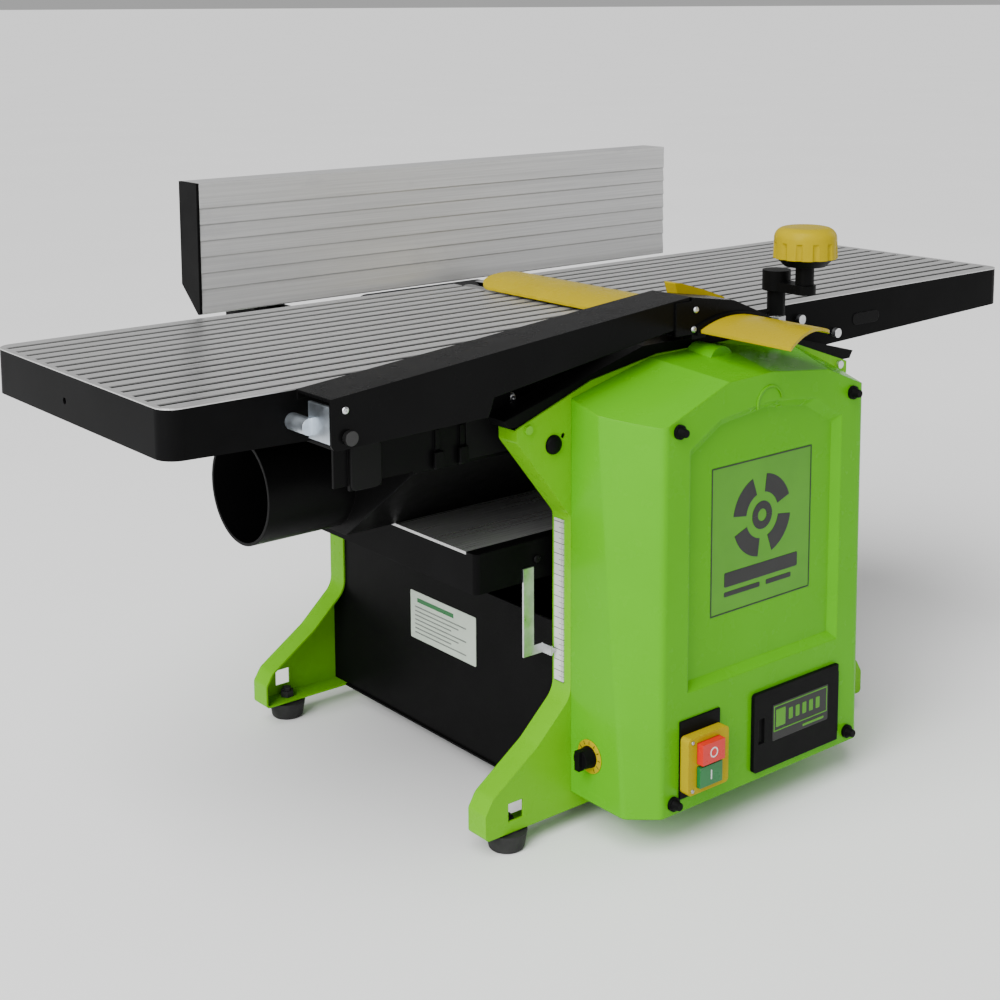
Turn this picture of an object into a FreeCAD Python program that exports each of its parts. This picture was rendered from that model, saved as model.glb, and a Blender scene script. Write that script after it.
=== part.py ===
"""Bench-top planer thicknesser with surfacing tables, fence, bridge guard and dust hood.

Frame: X runs along the tables from the outfeed end (-X) to the infeed end (+X),
Y runs across them from the operator (-Y) to the fence (+Y), Z is up and z = 0 is the bench.
The cutter block turns about a Y axis above the origin.  All sizes are in millimetres.
"""
import FreeCAD, Part
import math
import os

from FreeCAD import Vector

# ---------------------------------------------------------------- driving dimensions
TABLE_TOP = 445.0          # height of the outfeed table above the bench
TABLE_HALF_LENGTH = 535.0  # cutter axis to either table end
TABLE_HALF_WIDTH = 160.0
TABLE_PLATE = 8.0          # thickness of the table top
TABLE_WALL = 6.0           # thickness of the table's side walls
SKIRT_END = 41.0           # depth of the side walls at the table's end
SKIRT_ROOT = 55.0          # and beside the frame
SKIRT_ROOT_X = 75.0
GROOVE_COUNT = 15
GROOVE_WIDTH = 7.0
GROOVE_DEPTH = 1.6

CUTTER_RADIUS = 25.0
KNIFE_TIP_RADIUS = 26.0
KNIFE_HALF_LENGTH = 152.0
SHAFT_RADIUS = 7.5         # cutter shaft in its bearings
SHAFT_END_RADIUS = 5.0     # and beyond them
BEARING_RADIUS = 16.0
CUTTER_Z = TABLE_TOP - KNIFE_TIP_RADIUS
CUTTER_BOTTOM = CUTTER_Z - KNIFE_TIP_RADIUS

THICKNESS_REST = 124.0     # gap under the cutter that just lets the dust hood in
ROLLER_RADIUS = 16.0
ROLLER_X = 50.0
ROLLER_Z = CUTTER_BOTTOM - 1.0 + ROLLER_RADIUS
JOURNAL_RADIUS = 8.0

PLATE_OUTER_Y = 196.0      # outside face of the pressed side plates
PLATE_SHEET = 2.0
PLATE_FLANGE = 25.0
PLATE_HALF_WAIST = 157.0
LEG_HALF_SPREAD = 256.0
PLATE_BOTTOM = 19.0

FOOT_X = 223.0
FOOT_Y = 184.0
FOOT_RADIUS = 19.0

SCREW_X = 128.0            # the four elevating screws
SCREW_Y = 180.0
SCREW_RADIUS = 7.0

COVER_FRONT_Y = -288.0
COVER_BOTTOM = 36.0
COVER_WALL = 3.0

FENCE_FACE_Y = 169.0
FENCE_LENGTH = 637.0
FENCE_START_X = -321.0
FENCE_HEIGHT = 130.0
FENCE_DEPTH = 35.0

PORT_RADIUS = 50.0
PORT_WALL = 3.0
PORT_Y = -12.0
PORT_Z = TABLE_TOP - 123.6

MOTOR_Z = 105.0
RUNNING = 0.05             # radial clearance of a running fit
GAP = 0.3                  # clearance between faces that slide past each other

X_AXIS = Vector(1, 0, 0)
Y_AXIS = Vector(0, 1, 0)
Z_AXIS = Vector(0, 0, 1)


# ---------------------------------------------------------------- modelling helpers
def box(x0, x1, y0, y1, z0, z1):
    """A block between two opposite corners."""
    return Part.makeBox(x1 - x0, y1 - y0, z1 - z0, Vector(x0, y0, z0))


def rod_x(x0, x1, y, z, radius):
    return Part.makeCylinder(radius, x1 - x0, Vector(x0, y, z), X_AXIS)


def rod_y(x, y0, y1, z, radius):
    return Part.makeCylinder(radius, y1 - y0, Vector(x, y0, z), Y_AXIS)


def rod_z(x, y, z0, z1, radius):
    return Part.makeCylinder(radius, z1 - z0, Vector(x, y, z0), Z_AXIS)


def rounded_wire(points, radii):
    """A closed wire through the points, with an arc of the given radius at each corner."""
    count = len(points)
    trimmed = []
    for index, corner in enumerate(points):
        before = (points[index - 1] - corner).normalize()
        after = (points[(index + 1) % count] - corner).normalize()
        radius = radii[index]
        if radius == 0:
            trimmed.append((corner, corner, corner))
            continue
        half_angle = before.getAngle(after) / 2
        reach = radius / math.tan(half_angle)
        bisector = (before + after).normalize()
        middle = corner + bisector * (radius / math.sin(half_angle) - radius)
        trimmed.append((corner + before * reach, middle, corner + after * reach))
    edges = []
    for index, (start, middle, end) in enumerate(trimmed):
        if radii[index] > 0:
            edges.append(Part.Arc(start, middle, end).toShape())
        following = trimmed[(index + 1) % count][0]
        if end.distanceToPoint(following) > 1e-6:
            edges.append(Part.LineSegment(end, following).toShape())
    return Part.Wire(edges)


def outline(pairs, place, radius=0.0):
    """A rounded wire from 2-D pairs; place turns a pair into a point in space."""
    radii = [pair[2] if len(pair) > 2 else radius for pair in pairs]
    return rounded_wire([place(pair[0], pair[1]) for pair in pairs], radii)


def prism_xz(pairs, y0, y1, radius=0.0):
    """Extrude an outline drawn in X and Z from y0 to y1."""
    wire = outline(pairs, lambda x, z: Vector(x, y0, z), radius)
    return Part.Face(wire).extrude(Vector(0, y1 - y0, 0))


def prism_yz(pairs, x0, x1, radius=0.0):
    wire = outline(pairs, lambda y, z: Vector(x0, y, z), radius)
    return Part.Face(wire).extrude(Vector(x1 - x0, 0, 0))


def prism_xy(pairs, z0, z1, radius=0.0):
    wire = outline(pairs, lambda x, y: Vector(x, y, z0), radius)
    return Part.Face(wire).extrude(Vector(0, 0, z1 - z0))


def loft(wires):
    return Part.makeLoft(wires, True, True)


def fuse(shapes):
    """Join solids into one and drop the seams between them."""
    shapes = list(shapes)
    return shapes[0].multiFuse(shapes[1:]).removeSplitter() if len(shapes) > 1 else shapes[0]


def mirror_x(shape):
    return shape.mirror(Vector(0, 0, 0), X_AXIS)


def mirror_y(shape):
    return shape.mirror(Vector(0, 0, 0), Y_AXIS)


def hexagon_z(x, y, z0, z1, across_flats):
    corner = across_flats / math.sqrt(3)
    points = [Vector(x + corner * math.cos(math.radians(60 * k)),
                     y + corner * math.sin(math.radians(60 * k)), z0) for k in range(6)]
    return Part.Face(Part.makePolygon(points + points[:1])).extrude(Vector(0, 0, z1 - z0))


def belt_loop(circles, y0, y1, clearance, thickness):
    """A flat belt round two pulleys, given as (x, z, radius), in the plane y = const."""
    def hull(extra):
        (xa, za, ra), (xb, zb, rb) = circles
        ra, rb = ra + extra, rb + extra
        length = math.hypot(xb - xa, zb - za)
        along = Vector((xb - xa) / length, 0, (zb - za) / length)
        side = Vector(-along.z, 0, along.x)
        lean = math.asin((ra - rb) / length)
        normals = [along * math.sin(lean) + side * (sign * math.cos(lean)) for sign in (1, -1)]
        a, b = Vector(xa, y0, za), Vector(xb, y0, zb)
        edges = [
            Part.LineSegment(a + normals[0] * ra, b + normals[0] * rb).toShape(),
            Part.Arc(b + normals[0] * rb, b + along * rb, b + normals[1] * rb).toShape(),
            Part.LineSegment(b + normals[1] * rb, a + normals[1] * ra).toShape(),
            Part.Arc(a + normals[1] * ra, a - along * ra, a + normals[0] * ra).toShape(),
        ]
        return Part.Face(Part.Wire(edges)).extrude(Vector(0, y1 - y0, 0))
    return hull(clearance + thickness).cut(hull(clearance))


def save(name, shapes):
    """Write one node; a list of shapes becomes a group of separate solids."""
    if isinstance(shapes, (list, tuple)):
        solids = [solid for shape in shapes for solid in shape.Solids]
        shape = solids[0] if len(solids) == 1 else Part.makeCompound(solids)
    else:
        shape = shapes
        if shape.ShapeType == "Compound" and len(shape.Solids) == 1:
            shape = shape.Solids[0]
    shape.exportStep("parts/%s.step" % name)


# ---------------------------------------------------------------- frame
def side_plate():
    """Pressed side plate on the operator's side, flanged inwards below the cross member."""
    top = TABLE_TOP
    half = [(50, top - 16, 0), (132, top - 29, 0), (219, top - 60, 0), (219, top - 72, 5),
            (PLATE_HALF_WAIST, top - 150, 12), (PLATE_HALF_WAIST, top - 318, 22), (196, top - 354, 25),
            (248, top - 389, 12), (LEG_HALF_SPREAD, top - 402, 6), (LEG_HALF_SPREAD, PLATE_BOTTOM, 4)]
    points = half + [(-x, z, r) for x, z, r in reversed(half)]
    outer_y, inner_y = -PLATE_OUTER_Y, -PLATE_OUTER_Y + PLATE_FLANGE
    face = Part.Face(outline(points, lambda x, z: Vector(x, outer_y, z)))
    body = face.extrude(Vector(0, PLATE_FLANGE, 0))
    hollow = face.makeOffset2D(-PLATE_SHEET).extrude(Vector(0, PLATE_FLANGE + 1, 0))
    hollow.translate(Vector(0, PLATE_SHEET, 0))
    open_top = box(-260, 260, outer_y + PLATE_SHEET, inner_y + 1, top - 61.5, top)
    body = body.cut(hollow).cut(open_top)
    for side in (-1, 1):
        x = side * 222
        body = body.cut(box(x - 8.5, x + 8.5, outer_y - 1, outer_y + 5, 30, 47))
        body = body.cut(rod_z(side * FOOT_X, -FOOT_Y, PLATE_BOTTOM - 1, PLATE_BOTTOM + 4, 4.2))
        body = body.cut(rod_z(side * SCREW_X, -SCREW_Y, PLATE_BOTTOM - 1, PLATE_BOTTOM + 4, 8.55))
    return body.cut(box(-8.5, 8.5, outer_y - 1, outer_y + 5, CUTTER_Z - 9, top))


def near_side_plate():
    """The operator's side plate also lets the motor shaft through and has a plugged hole."""
    plate = side_plate().cut(rod_y(0, -PLATE_OUTER_Y - 1, -PLATE_OUTER_Y + 5, MOTOR_Z, 26))
    return plate.cut(rod_y(-166, -PLATE_OUTER_Y - 1, -PLATE_OUTER_Y + 5, TABLE_TOP - 74, 2.5))


def far_side_plate():
    """The far side plate is drilled for the roller journals and the cable gland."""
    plate = mirror_y(side_plate())
    for x in (-ROLLER_X, ROLLER_X):
        plate = plate.cut(rod_y(x, PLATE_OUTER_Y - 5, PLATE_OUTER_Y + 1, ROLLER_Z, 12))
    return plate.cut(rod_y(GLAND_X, PLATE_OUTER_Y - 5, PLATE_OUTER_Y + 1, GLAND_Z, 4))


PANEL_TOP = 190.0          # top of the sheets that close the base's ends
GLAND_X = -110.0
GLAND_Z = 65.0
SADDLE_TOP = 31.0


def base_panel():
    """Sheet between the side plates below the thicknessing table, outfeed side."""
    x1 = -PLATE_HALF_WAIST + 2 * PLATE_SHEET
    edge_y = PLATE_OUTER_Y - PLATE_SHEET - 0.1
    return box(x1 - PLATE_SHEET, x1, -edge_y, edge_y, PLATE_BOTTOM + PLATE_SHEET, PANEL_TOP)


def base_tray():
    """Floor of the base with two raised rails for the motor's feet."""
    half_x = PLATE_HALF_WAIST
    edge_y = PLATE_OUTER_Y - PLATE_FLANGE
    floor = box(-half_x, half_x, -edge_y, edge_y, PLATE_BOTTOM, PLATE_BOTTOM + PLATE_SHEET)
    rails = [box(-50, 50, y - 12, y + 12, PLATE_BOTTOM + 1, SADDLE_TOP) for y in (-110, 30)]
    return fuse([floor] + rails)


def rubber_foot(x, y):
    """Bonded rubber foot with its stud through the plate's bottom flange and a nut on top."""
    pad = Part.makeCone(FOOT_RADIUS - 3, FOOT_RADIUS, PLATE_BOTTOM - 2, Vector(x, y, 0), Z_AXIS)
    rim = [edge for edge in pad.Edges if edge.BoundBox.ZMax < 0.01]
    neck = rod_z(x, y, PLATE_BOTTOM - 3, PLATE_BOTTOM, 12)
    stud = rod_z(x, y, PLATE_BOTTOM - 3, PLATE_BOTTOM + 12, 4)
    nut = hexagon_z(x, y, PLATE_BOTTOM + PLATE_SHEET, PLATE_BOTTOM + PLATE_SHEET + 6.5, 13)
    return fuse([pad.makeFillet(3.0, rim), neck, stud, nut])


ARCH_Y = (-194.0, -168.0)


def arch_bracket():
    """Cast cross member on the operator's side: carries the bearings and the tables."""
    top = TABLE_TOP
    y0, y1 = ARCH_Y
    body = prism_xz([(-231, top - 51), (-67, top - 7), (67, top - 7), (231, top - 51), (226, top - 58.5),
                     (216, top - 58.5), (214, top - 66), (150, top - 78), (-150, top - 78), (-214, top - 66),
                     (-216, top - 58.5), (-226, top - 58.5)], y0, y1)
    pads = [box(x - 12, x + 12, y1, -TABLE_HALF_WIDTH, top - 48, top - 32) for x in (-155, -215)]
    pads += [box(x - 12, x + 12, y1, -TABLE_HALF_WIDTH - GAP, top - 48, top - 34) for x in (110, 160)]
    body = fuse([body] + pads)
    body = body.cut(rod_y(0, -190, -181, CUTTER_Z, BEARING_RADIUS + 0.02))
    body = body.cut(rod_y(0, y0 - 1, y1 + 1, CUTTER_Z, 11))
    for x in (-ROLLER_X, ROLLER_X):
        body = body.cut(rod_y(x, y0 - 1, y1 + 1, ROLLER_Z, JOURNAL_RADIUS + RUNNING))
    for x in (-SCREW_X, SCREW_X):
        body = body.cut(rod_z(x, -SCREW_Y, top - 90, top - 62, 6 + RUNNING))
    return body


def near_arch_bracket():
    """The operator's side member is drilled right through for the crank's spindle."""
    return arch_bracket().cut(rod_z(SCREW_X, -SCREW_Y, TABLE_TOP - 90, TABLE_TOP + 5, 6 + RUNNING))


def far_arch_bracket():
    return mirror_y(arch_bracket())


# ---------------------------------------------------------------- tables
FINGER_X = -110.0          # rod of the anti-kickback fingers
FINGER_Z = TABLE_TOP - 26.0
DEPTH_KNOB_X = 250.0
DEPTH_KNOB_Z = TABLE_TOP - 26.0


def grooves(x0, x1):
    """Shallow channels along the table top, evenly spaced across its width."""
    pitch = 2 * (TABLE_HALF_WIDTH - 8) / GROOVE_COUNT
    z0 = TABLE_TOP - GROOVE_DEPTH
    cuts = []
    for index in range(GROOVE_COUNT):
        y = (index - (GROOVE_COUNT - 1) / 2) * pitch
        cuts.append(box(x0, x1, y - GROOVE_WIDTH / 2, y + GROOVE_WIDTH / 2, z0, TABLE_TOP + 1))
    return cuts


def table(lip_x, relief_radius):
    """Outfeed table: ribbed box casting with a grooved top and a thin lip at the cutter."""
    end_x, half, root = -TABLE_HALF_LENGTH, TABLE_HALF_WIDTH, -SKIRT_ROOT_X
    top, wall = TABLE_TOP, TABLE_WALL
    plate = prism_xy([(end_x, -half, 16), (-lip_x, -half, 0), (-lip_x, half, 0), (end_x, half, 16)],
                     top - TABLE_PLATE, top)
    outer = prism_xy([(end_x, -half, 16), (root, -half, 2), (root, half, 2), (end_x, half, 16)],
                     top - SKIRT_ROOT, top - 1)
    inner = prism_xy([(end_x + wall, wall - half, 10), (root - wall, wall - half, 2),
                      (root - wall, half - wall, 2), (end_x + wall, half - wall, 10)], top - SKIRT_ROOT - 1, top)
    below = prism_xz([(end_x - 1, top - SKIRT_END), (root + 5, top - SKIRT_ROOT - 0.2),
                      (root + 5, top - 90), (end_x - 1, top - 90)], -half - 1, half + 1)
    ribs = [box(x - 3, x + 3, 1 - half, half - 1, top - 26, top - 1) for x in (-420, -305, -190)]
    ribs.append(box(end_x + 3, -190, -3, 3, top - 26, top - 1))
    body = fuse([plate, outer.cut(inner)] + ribs).cut(below)
    body = body.cut(box(root - wall - 1, root + 1, wall - half, half - wall, top - 60, top - 18))
    body = body.cut(rod_y(0, -half - 1, half + 1, CUTTER_Z, relief_radius))
    for cut in grooves(end_x + 5, 0):
        body = body.cut(cut)
    return body


def outfeed_table():
    """The outfeed table has a bolt hole in its end and carries the anti-kickback rod."""
    body = table(13, 28.5).cut(rod_x(-TABLE_HALF_LENGTH - 1, -TABLE_HALF_LENGTH + 10, 15, TABLE_TOP - 24, 3))
    return body.cut(rod_y(FINGER_X, -TABLE_HALF_WIDTH - 1, TABLE_HALF_WIDTH + 1, FINGER_Z, 4 + RUNNING))


def infeed_table():
    """The infeed table has more relief because it can be lowered, and a bore for its depth knob."""
    body = mirror_x(table(16, 30.5))
    return body.cut(rod_y(DEPTH_KNOB_X, TABLE_HALF_WIDTH - 10, TABLE_HALF_WIDTH + 1, DEPTH_KNOB_Z, 5 + RUNNING))


def depth_knob():
    """Fluted knob that sets how far the infeed table is lowered."""
    shaft = rod_y(DEPTH_KNOB_X, TABLE_HALF_WIDTH - 14, 170, DEPTH_KNOB_Z, 5)
    collar = rod_y(DEPTH_KNOB_X, TABLE_HALF_WIDTH + GAP, 168, DEPTH_KNOB_Z, 9)
    grip = rod_y(DEPTH_KNOB_X, 168, 192, DEPTH_KNOB_Z, 20)
    for k in range(8):
        angle = math.radians(45 * k)
        grip = grip.cut(rod_y(DEPTH_KNOB_X + 25 * math.cos(angle), 167, 193,
                              DEPTH_KNOB_Z + 25 * math.sin(angle), 8))
    return fuse([shaft, collar, grip])


def side_heads(places, face_y, thickness, radius, sides=(-1, 1)):
    """Round screw heads at (x, z) on faces at +-face_y."""
    heads = []
    for side in sides:
        for x, z in places:
            heads.append(Part.makeCylinder(radius, thickness, Vector(x, side * face_y, z), Y_AXIS * side))
    return heads


def table_bolts():
    """Zinc screws of the outfeed table and of the side plates' ears."""
    skirt = side_heads([(-198, TABLE_TOP - 26), (-130, TABLE_TOP - 44)], TABLE_HALF_WIDTH, 5, 6)
    ears = side_heads([(-207, TABLE_TOP - 62), (207, TABLE_TOP - 62)], PLATE_OUTER_Y, 3, 4)
    return skirt + ears


def infeed_table_bolts():
    """Zinc screws on the near side of the infeed table."""
    return side_heads([(186, TABLE_TOP - 18), (243, TABLE_TOP - 39)], TABLE_HALF_WIDTH, 5, 5, [-1])


# ---------------------------------------------------------------- cutter block and drive
def cutter_block():
    """Steel block with two knife slots, bearing journals and thinner shaft ends."""
    body = fuse([rod_y(0, -KNIFE_HALF_LENGTH, KNIFE_HALF_LENGTH, CUTTER_Z, CUTTER_RADIUS),
                 rod_y(0, -192, 192, CUTTER_Z, SHAFT_RADIUS),
                 rod_y(0, BELT_Y[0] - 4, 210, CUTTER_Z, SHAFT_END_RADIUS)])
    for angle in (40, 220):
        slot = box(-5, 5, -KNIFE_HALF_LENGTH - 1, KNIFE_HALF_LENGTH + 1, 8, 27)
        body = body.cut(turned(slot, angle))
    return body


def turned(shape, angle):
    """Turn a shape drawn about the Y axis and carry it to the cutter axis."""
    shape = shape.copy()
    shape.rotate(Vector(0, 0, 0), Y_AXIS, angle)
    shape.translate(Vector(0, 0, CUTTER_Z))
    return shape


def knives():
    knife = prism_xz([(2.5, 8), (5, 8), (5, KNIFE_TIP_RADIUS - 0.6), (2.5, KNIFE_TIP_RADIUS - 3.6)],
                     -KNIFE_HALF_LENGTH, KNIFE_HALF_LENGTH)
    return [turned(knife, angle) for angle in (40, 220)]


def knife_wedges():
    wedge = box(-5, 2.5, -KNIFE_HALF_LENGTH, KNIFE_HALF_LENGTH, 8, 22)
    for k in range(6):
        wedge = wedge.cut(rod_z(-1.5, -130 + 52 * k, 17, 23, 2.6))
    return [turned(wedge, angle) for angle in (40, 220)]


def cutter_bearings():
    """Two ball bearings, drawn as plain rings."""
    outer = rod_y(0, -190, -181, CUTTER_Z, BEARING_RADIUS)
    ring = outer.cut(rod_y(0, -191, -180, CUTTER_Z, SHAFT_RADIUS + RUNNING))
    return [ring, mirror_y(ring)]


BELT_Y = (-221.0, -201.0)
CUTTER_PULLEY_RADIUS = 10.0
MOTOR_PULLEY_RADIUS = 23.0


def pulley(x, z, radius, bore):
    """Poly-V pulley with six grooves in its rim; a bore of 0 leaves it solid."""
    y0, y1 = BELT_Y
    body = rod_y(x, y0 - 2, y1 + 2, z, radius)
    for k in range(6):
        y = y0 + 1.5 + k * 3
        body = body.cut(rod_y(x, y, y + 1.2, z, radius + 1).cut(rod_y(x, y - 1, y + 2, z, radius - 1.2)))
    if bore:
        body = body.cut(rod_y(x, y0 - 3, y1 + 3, z, bore))
    return body


def cutter_pulley():
    return pulley(0, CUTTER_Z, CUTTER_PULLEY_RADIUS, SHAFT_END_RADIUS + 0.02)


def motor_pulley():
    """Pulley and rotor shaft, which turn together in the motor's front bearing."""
    return fuse([pulley(0, MOTOR_Z, MOTOR_PULLEY_RADIUS, 0), rod_y(0, BELT_Y[1], -146, MOTOR_Z, 6)])


def drive_belt():
    circles = [(0, MOTOR_Z, MOTOR_PULLEY_RADIUS), (0, CUTTER_Z, CUTTER_PULLEY_RADIUS)]
    return belt_loop(circles, BELT_Y[0] + 1, BELT_Y[1] - 1, GAP, 2)


def motor():
    """Closed motor with cooling grooves, two feet and a blind bore for the rotor shaft."""
    body = fuse([rod_y(0, -140, 70, MOTOR_Z, 65),
                 Part.makeCone(48, 62, 12, Vector(0, -152, MOTOR_Z), Y_AXIS),
                 rod_y(0, 70, 88, MOTOR_Z, 50)])
    for k in range(9):
        y = -96 + 18 * k
        ring = rod_y(0, y, y + 6, MOTOR_Z, 66).cut(rod_y(0, y - 1, y + 7, MOTOR_Z, 61))
        body = body.cut(ring)
    feet = [box(-42, 42, y - 10, y + 10, SADDLE_TOP, MOTOR_Z - 40) for y in (-110, 30)]
    return fuse([body] + feet).cut(rod_y(0, -160, -138, MOTOR_Z, 6 + RUNNING))


def feed_roller(x, flutes):
    """Feed roller with journals and the chain sprocket on its far end."""
    body = rod_y(x, -152, 152, ROLLER_Z, ROLLER_RADIUS)
    reach = ROLLER_RADIUS + 0.6
    for k in range(flutes):
        angle = 2 * math.pi * k / flutes
        body = body.cut(rod_y(x + reach * math.cos(angle), -153, 153, ROLLER_Z + reach * math.sin(angle), 1.6))
    return fuse([body, rod_y(x, -192, 224, ROLLER_Z, JOURNAL_RADIUS), sprocket(x, ROLLER_Z, 15.0)])


SPROCKET_Y = (216.0, 222.0)


def sprocket(x, z, radius):
    """Chain sprocket: a disc with round-rooted teeth."""
    body = rod_y(x, SPROCKET_Y[0], SPROCKET_Y[1], z, radius)
    teeth = int(round(2 * math.pi * radius / 7))
    for k in range(teeth):
        angle = 2 * math.pi * (k + 0.5) / teeth
        body = body.cut(rod_y(x + radius * math.cos(angle), SPROCKET_Y[0] - 1, SPROCKET_Y[1] + 1,
                              z + radius * math.sin(angle), 1.8))
    return body


GEARBOX_Z = TABLE_TOP - 95.0


def feed_gearbox():
    """Reduction gearbox driven by the cutter's far journal."""
    outline_points = [(-30, GEARBOX_Z - 25), (30, GEARBOX_Z - 25), (20, TABLE_TOP - 18), (-20, TABLE_TOP - 18)]
    casing = prism_xz(outline_points, PLATE_OUTER_Y, 214, 4)
    casing = casing.cut(rod_y(0, 190, 211, CUTTER_Z, SHAFT_END_RADIUS + RUNNING))
    return casing.cut(rod_y(0, 205, 215, GEARBOX_Z, 5 + RUNNING))


def feed_drive_sprocket():
    return fuse([sprocket(0, GEARBOX_Z, 13.0), rod_y(0, 206, 224, GEARBOX_Z, 5)])


def feed_chain():
    """Roller chain round the output sprocket and both roller sprockets, drawn as its envelope."""
    centres = [(0, GEARBOX_Z, 13.0), (ROLLER_X, ROLLER_Z, 15.0), (-ROLLER_X, ROLLER_Z, 15.0)]

    def hull(extra):
        discs = [rod_y(x, 217, 221, z, r + extra) for x, z, r in centres]
        spans = []
        for (xa, za, ra), (xb, zb, rb) in zip(centres, centres[1:] + centres[:1]):
            length = math.hypot(xb - xa, zb - za)
            along = Vector((xb - xa) / length, 0, (zb - za) / length)
            side = Vector(along.z, 0, -along.x)
            lean = math.asin((ra - rb) / length)
            normal = along * math.sin(lean) + side * math.cos(lean)
            a, b = Vector(xa, 217, za), Vector(xb, 217, zb)
            corners = [a, a + normal * (ra + extra), b + normal * (rb + extra), b]
            spans.append(Part.Face(Part.makePolygon(corners + corners[:1])).extrude(Vector(0, 4, 0)))
        core = Part.Face(Part.makePolygon([Vector(x, 217, z) for x, z, r in centres + centres[:1]]))
        return fuse(discs + spans + [core.extrude(Vector(0, 4, 0))])
    return hull(GAP + 3).cut(hull(GAP))


def kickback_fingers():
    """Anti-kickback fingers on their rod; stock enters the thicknesser from the outfeed side."""
    half_rod = TABLE_HALF_WIDTH + 3
    parts = [rod_y(FINGER_X, -half_rod, half_rod, FINGER_Z, 4)]
    blade = prism_xz([(FINGER_X - 7, FINGER_Z + 2, 2), (FINGER_X + 3, FINGER_Z + 7, 2),
                      (FINGER_X + 27, FINGER_Z - 18, 0), (FINGER_X + 21, FINGER_Z - 25, 0)], -3, 3)
    for k in range(22):
        finger = blade.copy()
        finger.translate(Vector(0, 13.5 * (k - 10.5), 0))
        parts.append(finger)
    return fuse(parts)


# ---------------------------------------------------------------- covers
# top edges of the drive cover, as (x, depth below the table)
COVER_FRONT_TOP = [(157, 66), (80, 34), (4, 25.2), (0, 25), (-53, 26.6), (-157, 66)]
COVER_BACK_TOP = [(157, 42), (125, 27), (91, 29), (28, 16), (-60, 18), (-157, 42)]
COVER_NOSE = 131.5           # half width of the flat front between the tapered corners
CORNER_TAPER = 0.0976        # lean of a corner's back edge, per millimetre of height


def cover_outline(y, top, inset):
    """Closed outline of the drive cover at one depth."""
    half, bottom = PLATE_HALF_WAIST - inset, COVER_BOTTOM + inset
    points = [Vector(-half, y, bottom), Vector(half, y, bottom)]
    for x, depth in top:
        points.append(Vector(max(-half, min(half, x)), y, TABLE_TOP - depth - inset))
    return Part.makePolygon(points + points[:1])


def cover_corner(side, inset):
    """Wedge to take off one upright corner of the drive cover."""
    wires = []
    for z in (COVER_BOTTOM - 2, TABLE_TOP):
        back_y = -266 + CORNER_TAPER * (z - COVER_BOTTOM) + inset
        corner = Vector(side * (PLATE_HALF_WAIST - inset), back_y, z)
        nose = Vector(side * (COVER_NOSE - 0.4 * inset), COVER_FRONT_Y + inset, z)
        run = corner - nose
        points = [corner + run, nose - run, Vector((nose - run).x, COVER_FRONT_Y - 60, z),
                  Vector((corner + run).x, COVER_FRONT_Y - 60, z)]
        wires.append(Part.makePolygon(points + points[:1]))
    return loft(wires)


def cover_body(inset, front_y, back_y):
    """The cover's bulk between its front and back outlines, with tapered and softened corners."""
    body = loft([cover_outline(front_y, COVER_FRONT_TOP, inset), cover_outline(back_y, COVER_BACK_TOP, inset)])
    body = body.cut(cover_corner(-1, inset)).cut(cover_corner(1, inset))
    upright = []
    for edge in body.Edges:
        ends = [vertex.Point for vertex in edge.Vertexes]
        if len(ends) == 2 and abs(ends[0].z - ends[1].z) > 250 and min(ends[0].y, ends[1].y) < -240:
            upright.append(edge)
    return body.makeFillet(8.0 - inset, upright)


def drive_cover():
    """Moulded cover over the belt drive, with a sunk front panel and openings behind the fittings."""
    front, back = COVER_FRONT_Y, -PLATE_OUTER_Y
    shell = fuse([cover_body(0.0, front, back), rod_y(0, -228, back, CUTTER_Z, 15.5)])
    cavity = cover_body(COVER_WALL, front + COVER_WALL, back + 1)

    def ring(y, grow):
        points = []
        for x, z in PANEL_OUTLINE:
            sign = (x > 0) - (x < 0)
            points.append(Vector(x + sign * grow, y, z + (grow if z > 200 else -grow)))
        return Part.makePolygon(points + points[:1])

    sunk = loft([ring(front - 1, 1), ring(front + 7, -7)])
    behind = loft([ring(front - 1, 4), ring(front + 7 + COVER_WALL, -4)])
    body = shell.cut(cavity.cut(behind)).cut(sunk).cut(rod_y(0, -225.5, back + 1, CUTTER_Z, 13))
    body = body.cut(box(DOOR_X[0] + 10, DOOR_X[1] - 14, front - 1, front + 6, DOOR_Z[0] + 10, DOOR_Z[1] - 10))
    body = body.cut(box(MECHANISM_X[0] - 1, MECHANISM_X[1] + 1, front - 1, front + 6, 62, 104))
    for x, z in COVER_SCREWS:
        body = body.cut(rod_y(x, front - 1, front + 5, z, 2.5))
    return body.cut(rod_x(-PLATE_HALF_WAIST - 1, -PLATE_HALF_WAIST + 6, SELECTOR_Y, SELECTOR_Z, 4 + RUNNING))


SELECTOR_Y = -222.0
SELECTOR_Z = 79.0
PANEL_OUTLINE = [(-101, 145), (-101, TABLE_TOP - 80), (-63, TABLE_TOP - 58.5), (0, TABLE_TOP - 51.6),
                 (63, TABLE_TOP - 58.5), (101, TABLE_TOP - 80), (101, 145)]
COVER_SCREWS = [(-115, TABLE_TOP - 61), (115, TABLE_TOP - 61), (-118, 47), (118, 47)]
REAR_SCREWS = [(-76, TABLE_TOP - 30), (76, TABLE_TOP - 30), (-54, TABLE_TOP - 132), (54, TABLE_TOP - 132)]
MECHANISM_X = (-102.0, -70.0)


def feed_selector_knob():
    """Pointer knob of the feed selector with its spindle through the cover's side."""
    x0 = -PLATE_HALF_WAIST
    spindle = rod_x(x0 - 4, x0 + 8, SELECTOR_Y, SELECTOR_Z, 4)
    dome = Part.makeCone(10, 8.5, 11, Vector(x0 - 1, SELECTOR_Y, SELECTOR_Z), -X_AXIS)
    grip = box(x0 - 16, x0 - 10, SELECTOR_Y - 3, SELECTOR_Y + 3, SELECTOR_Z - 9, SELECTOR_Z + 9)
    return fuse([spindle, dome, grip])


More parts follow.
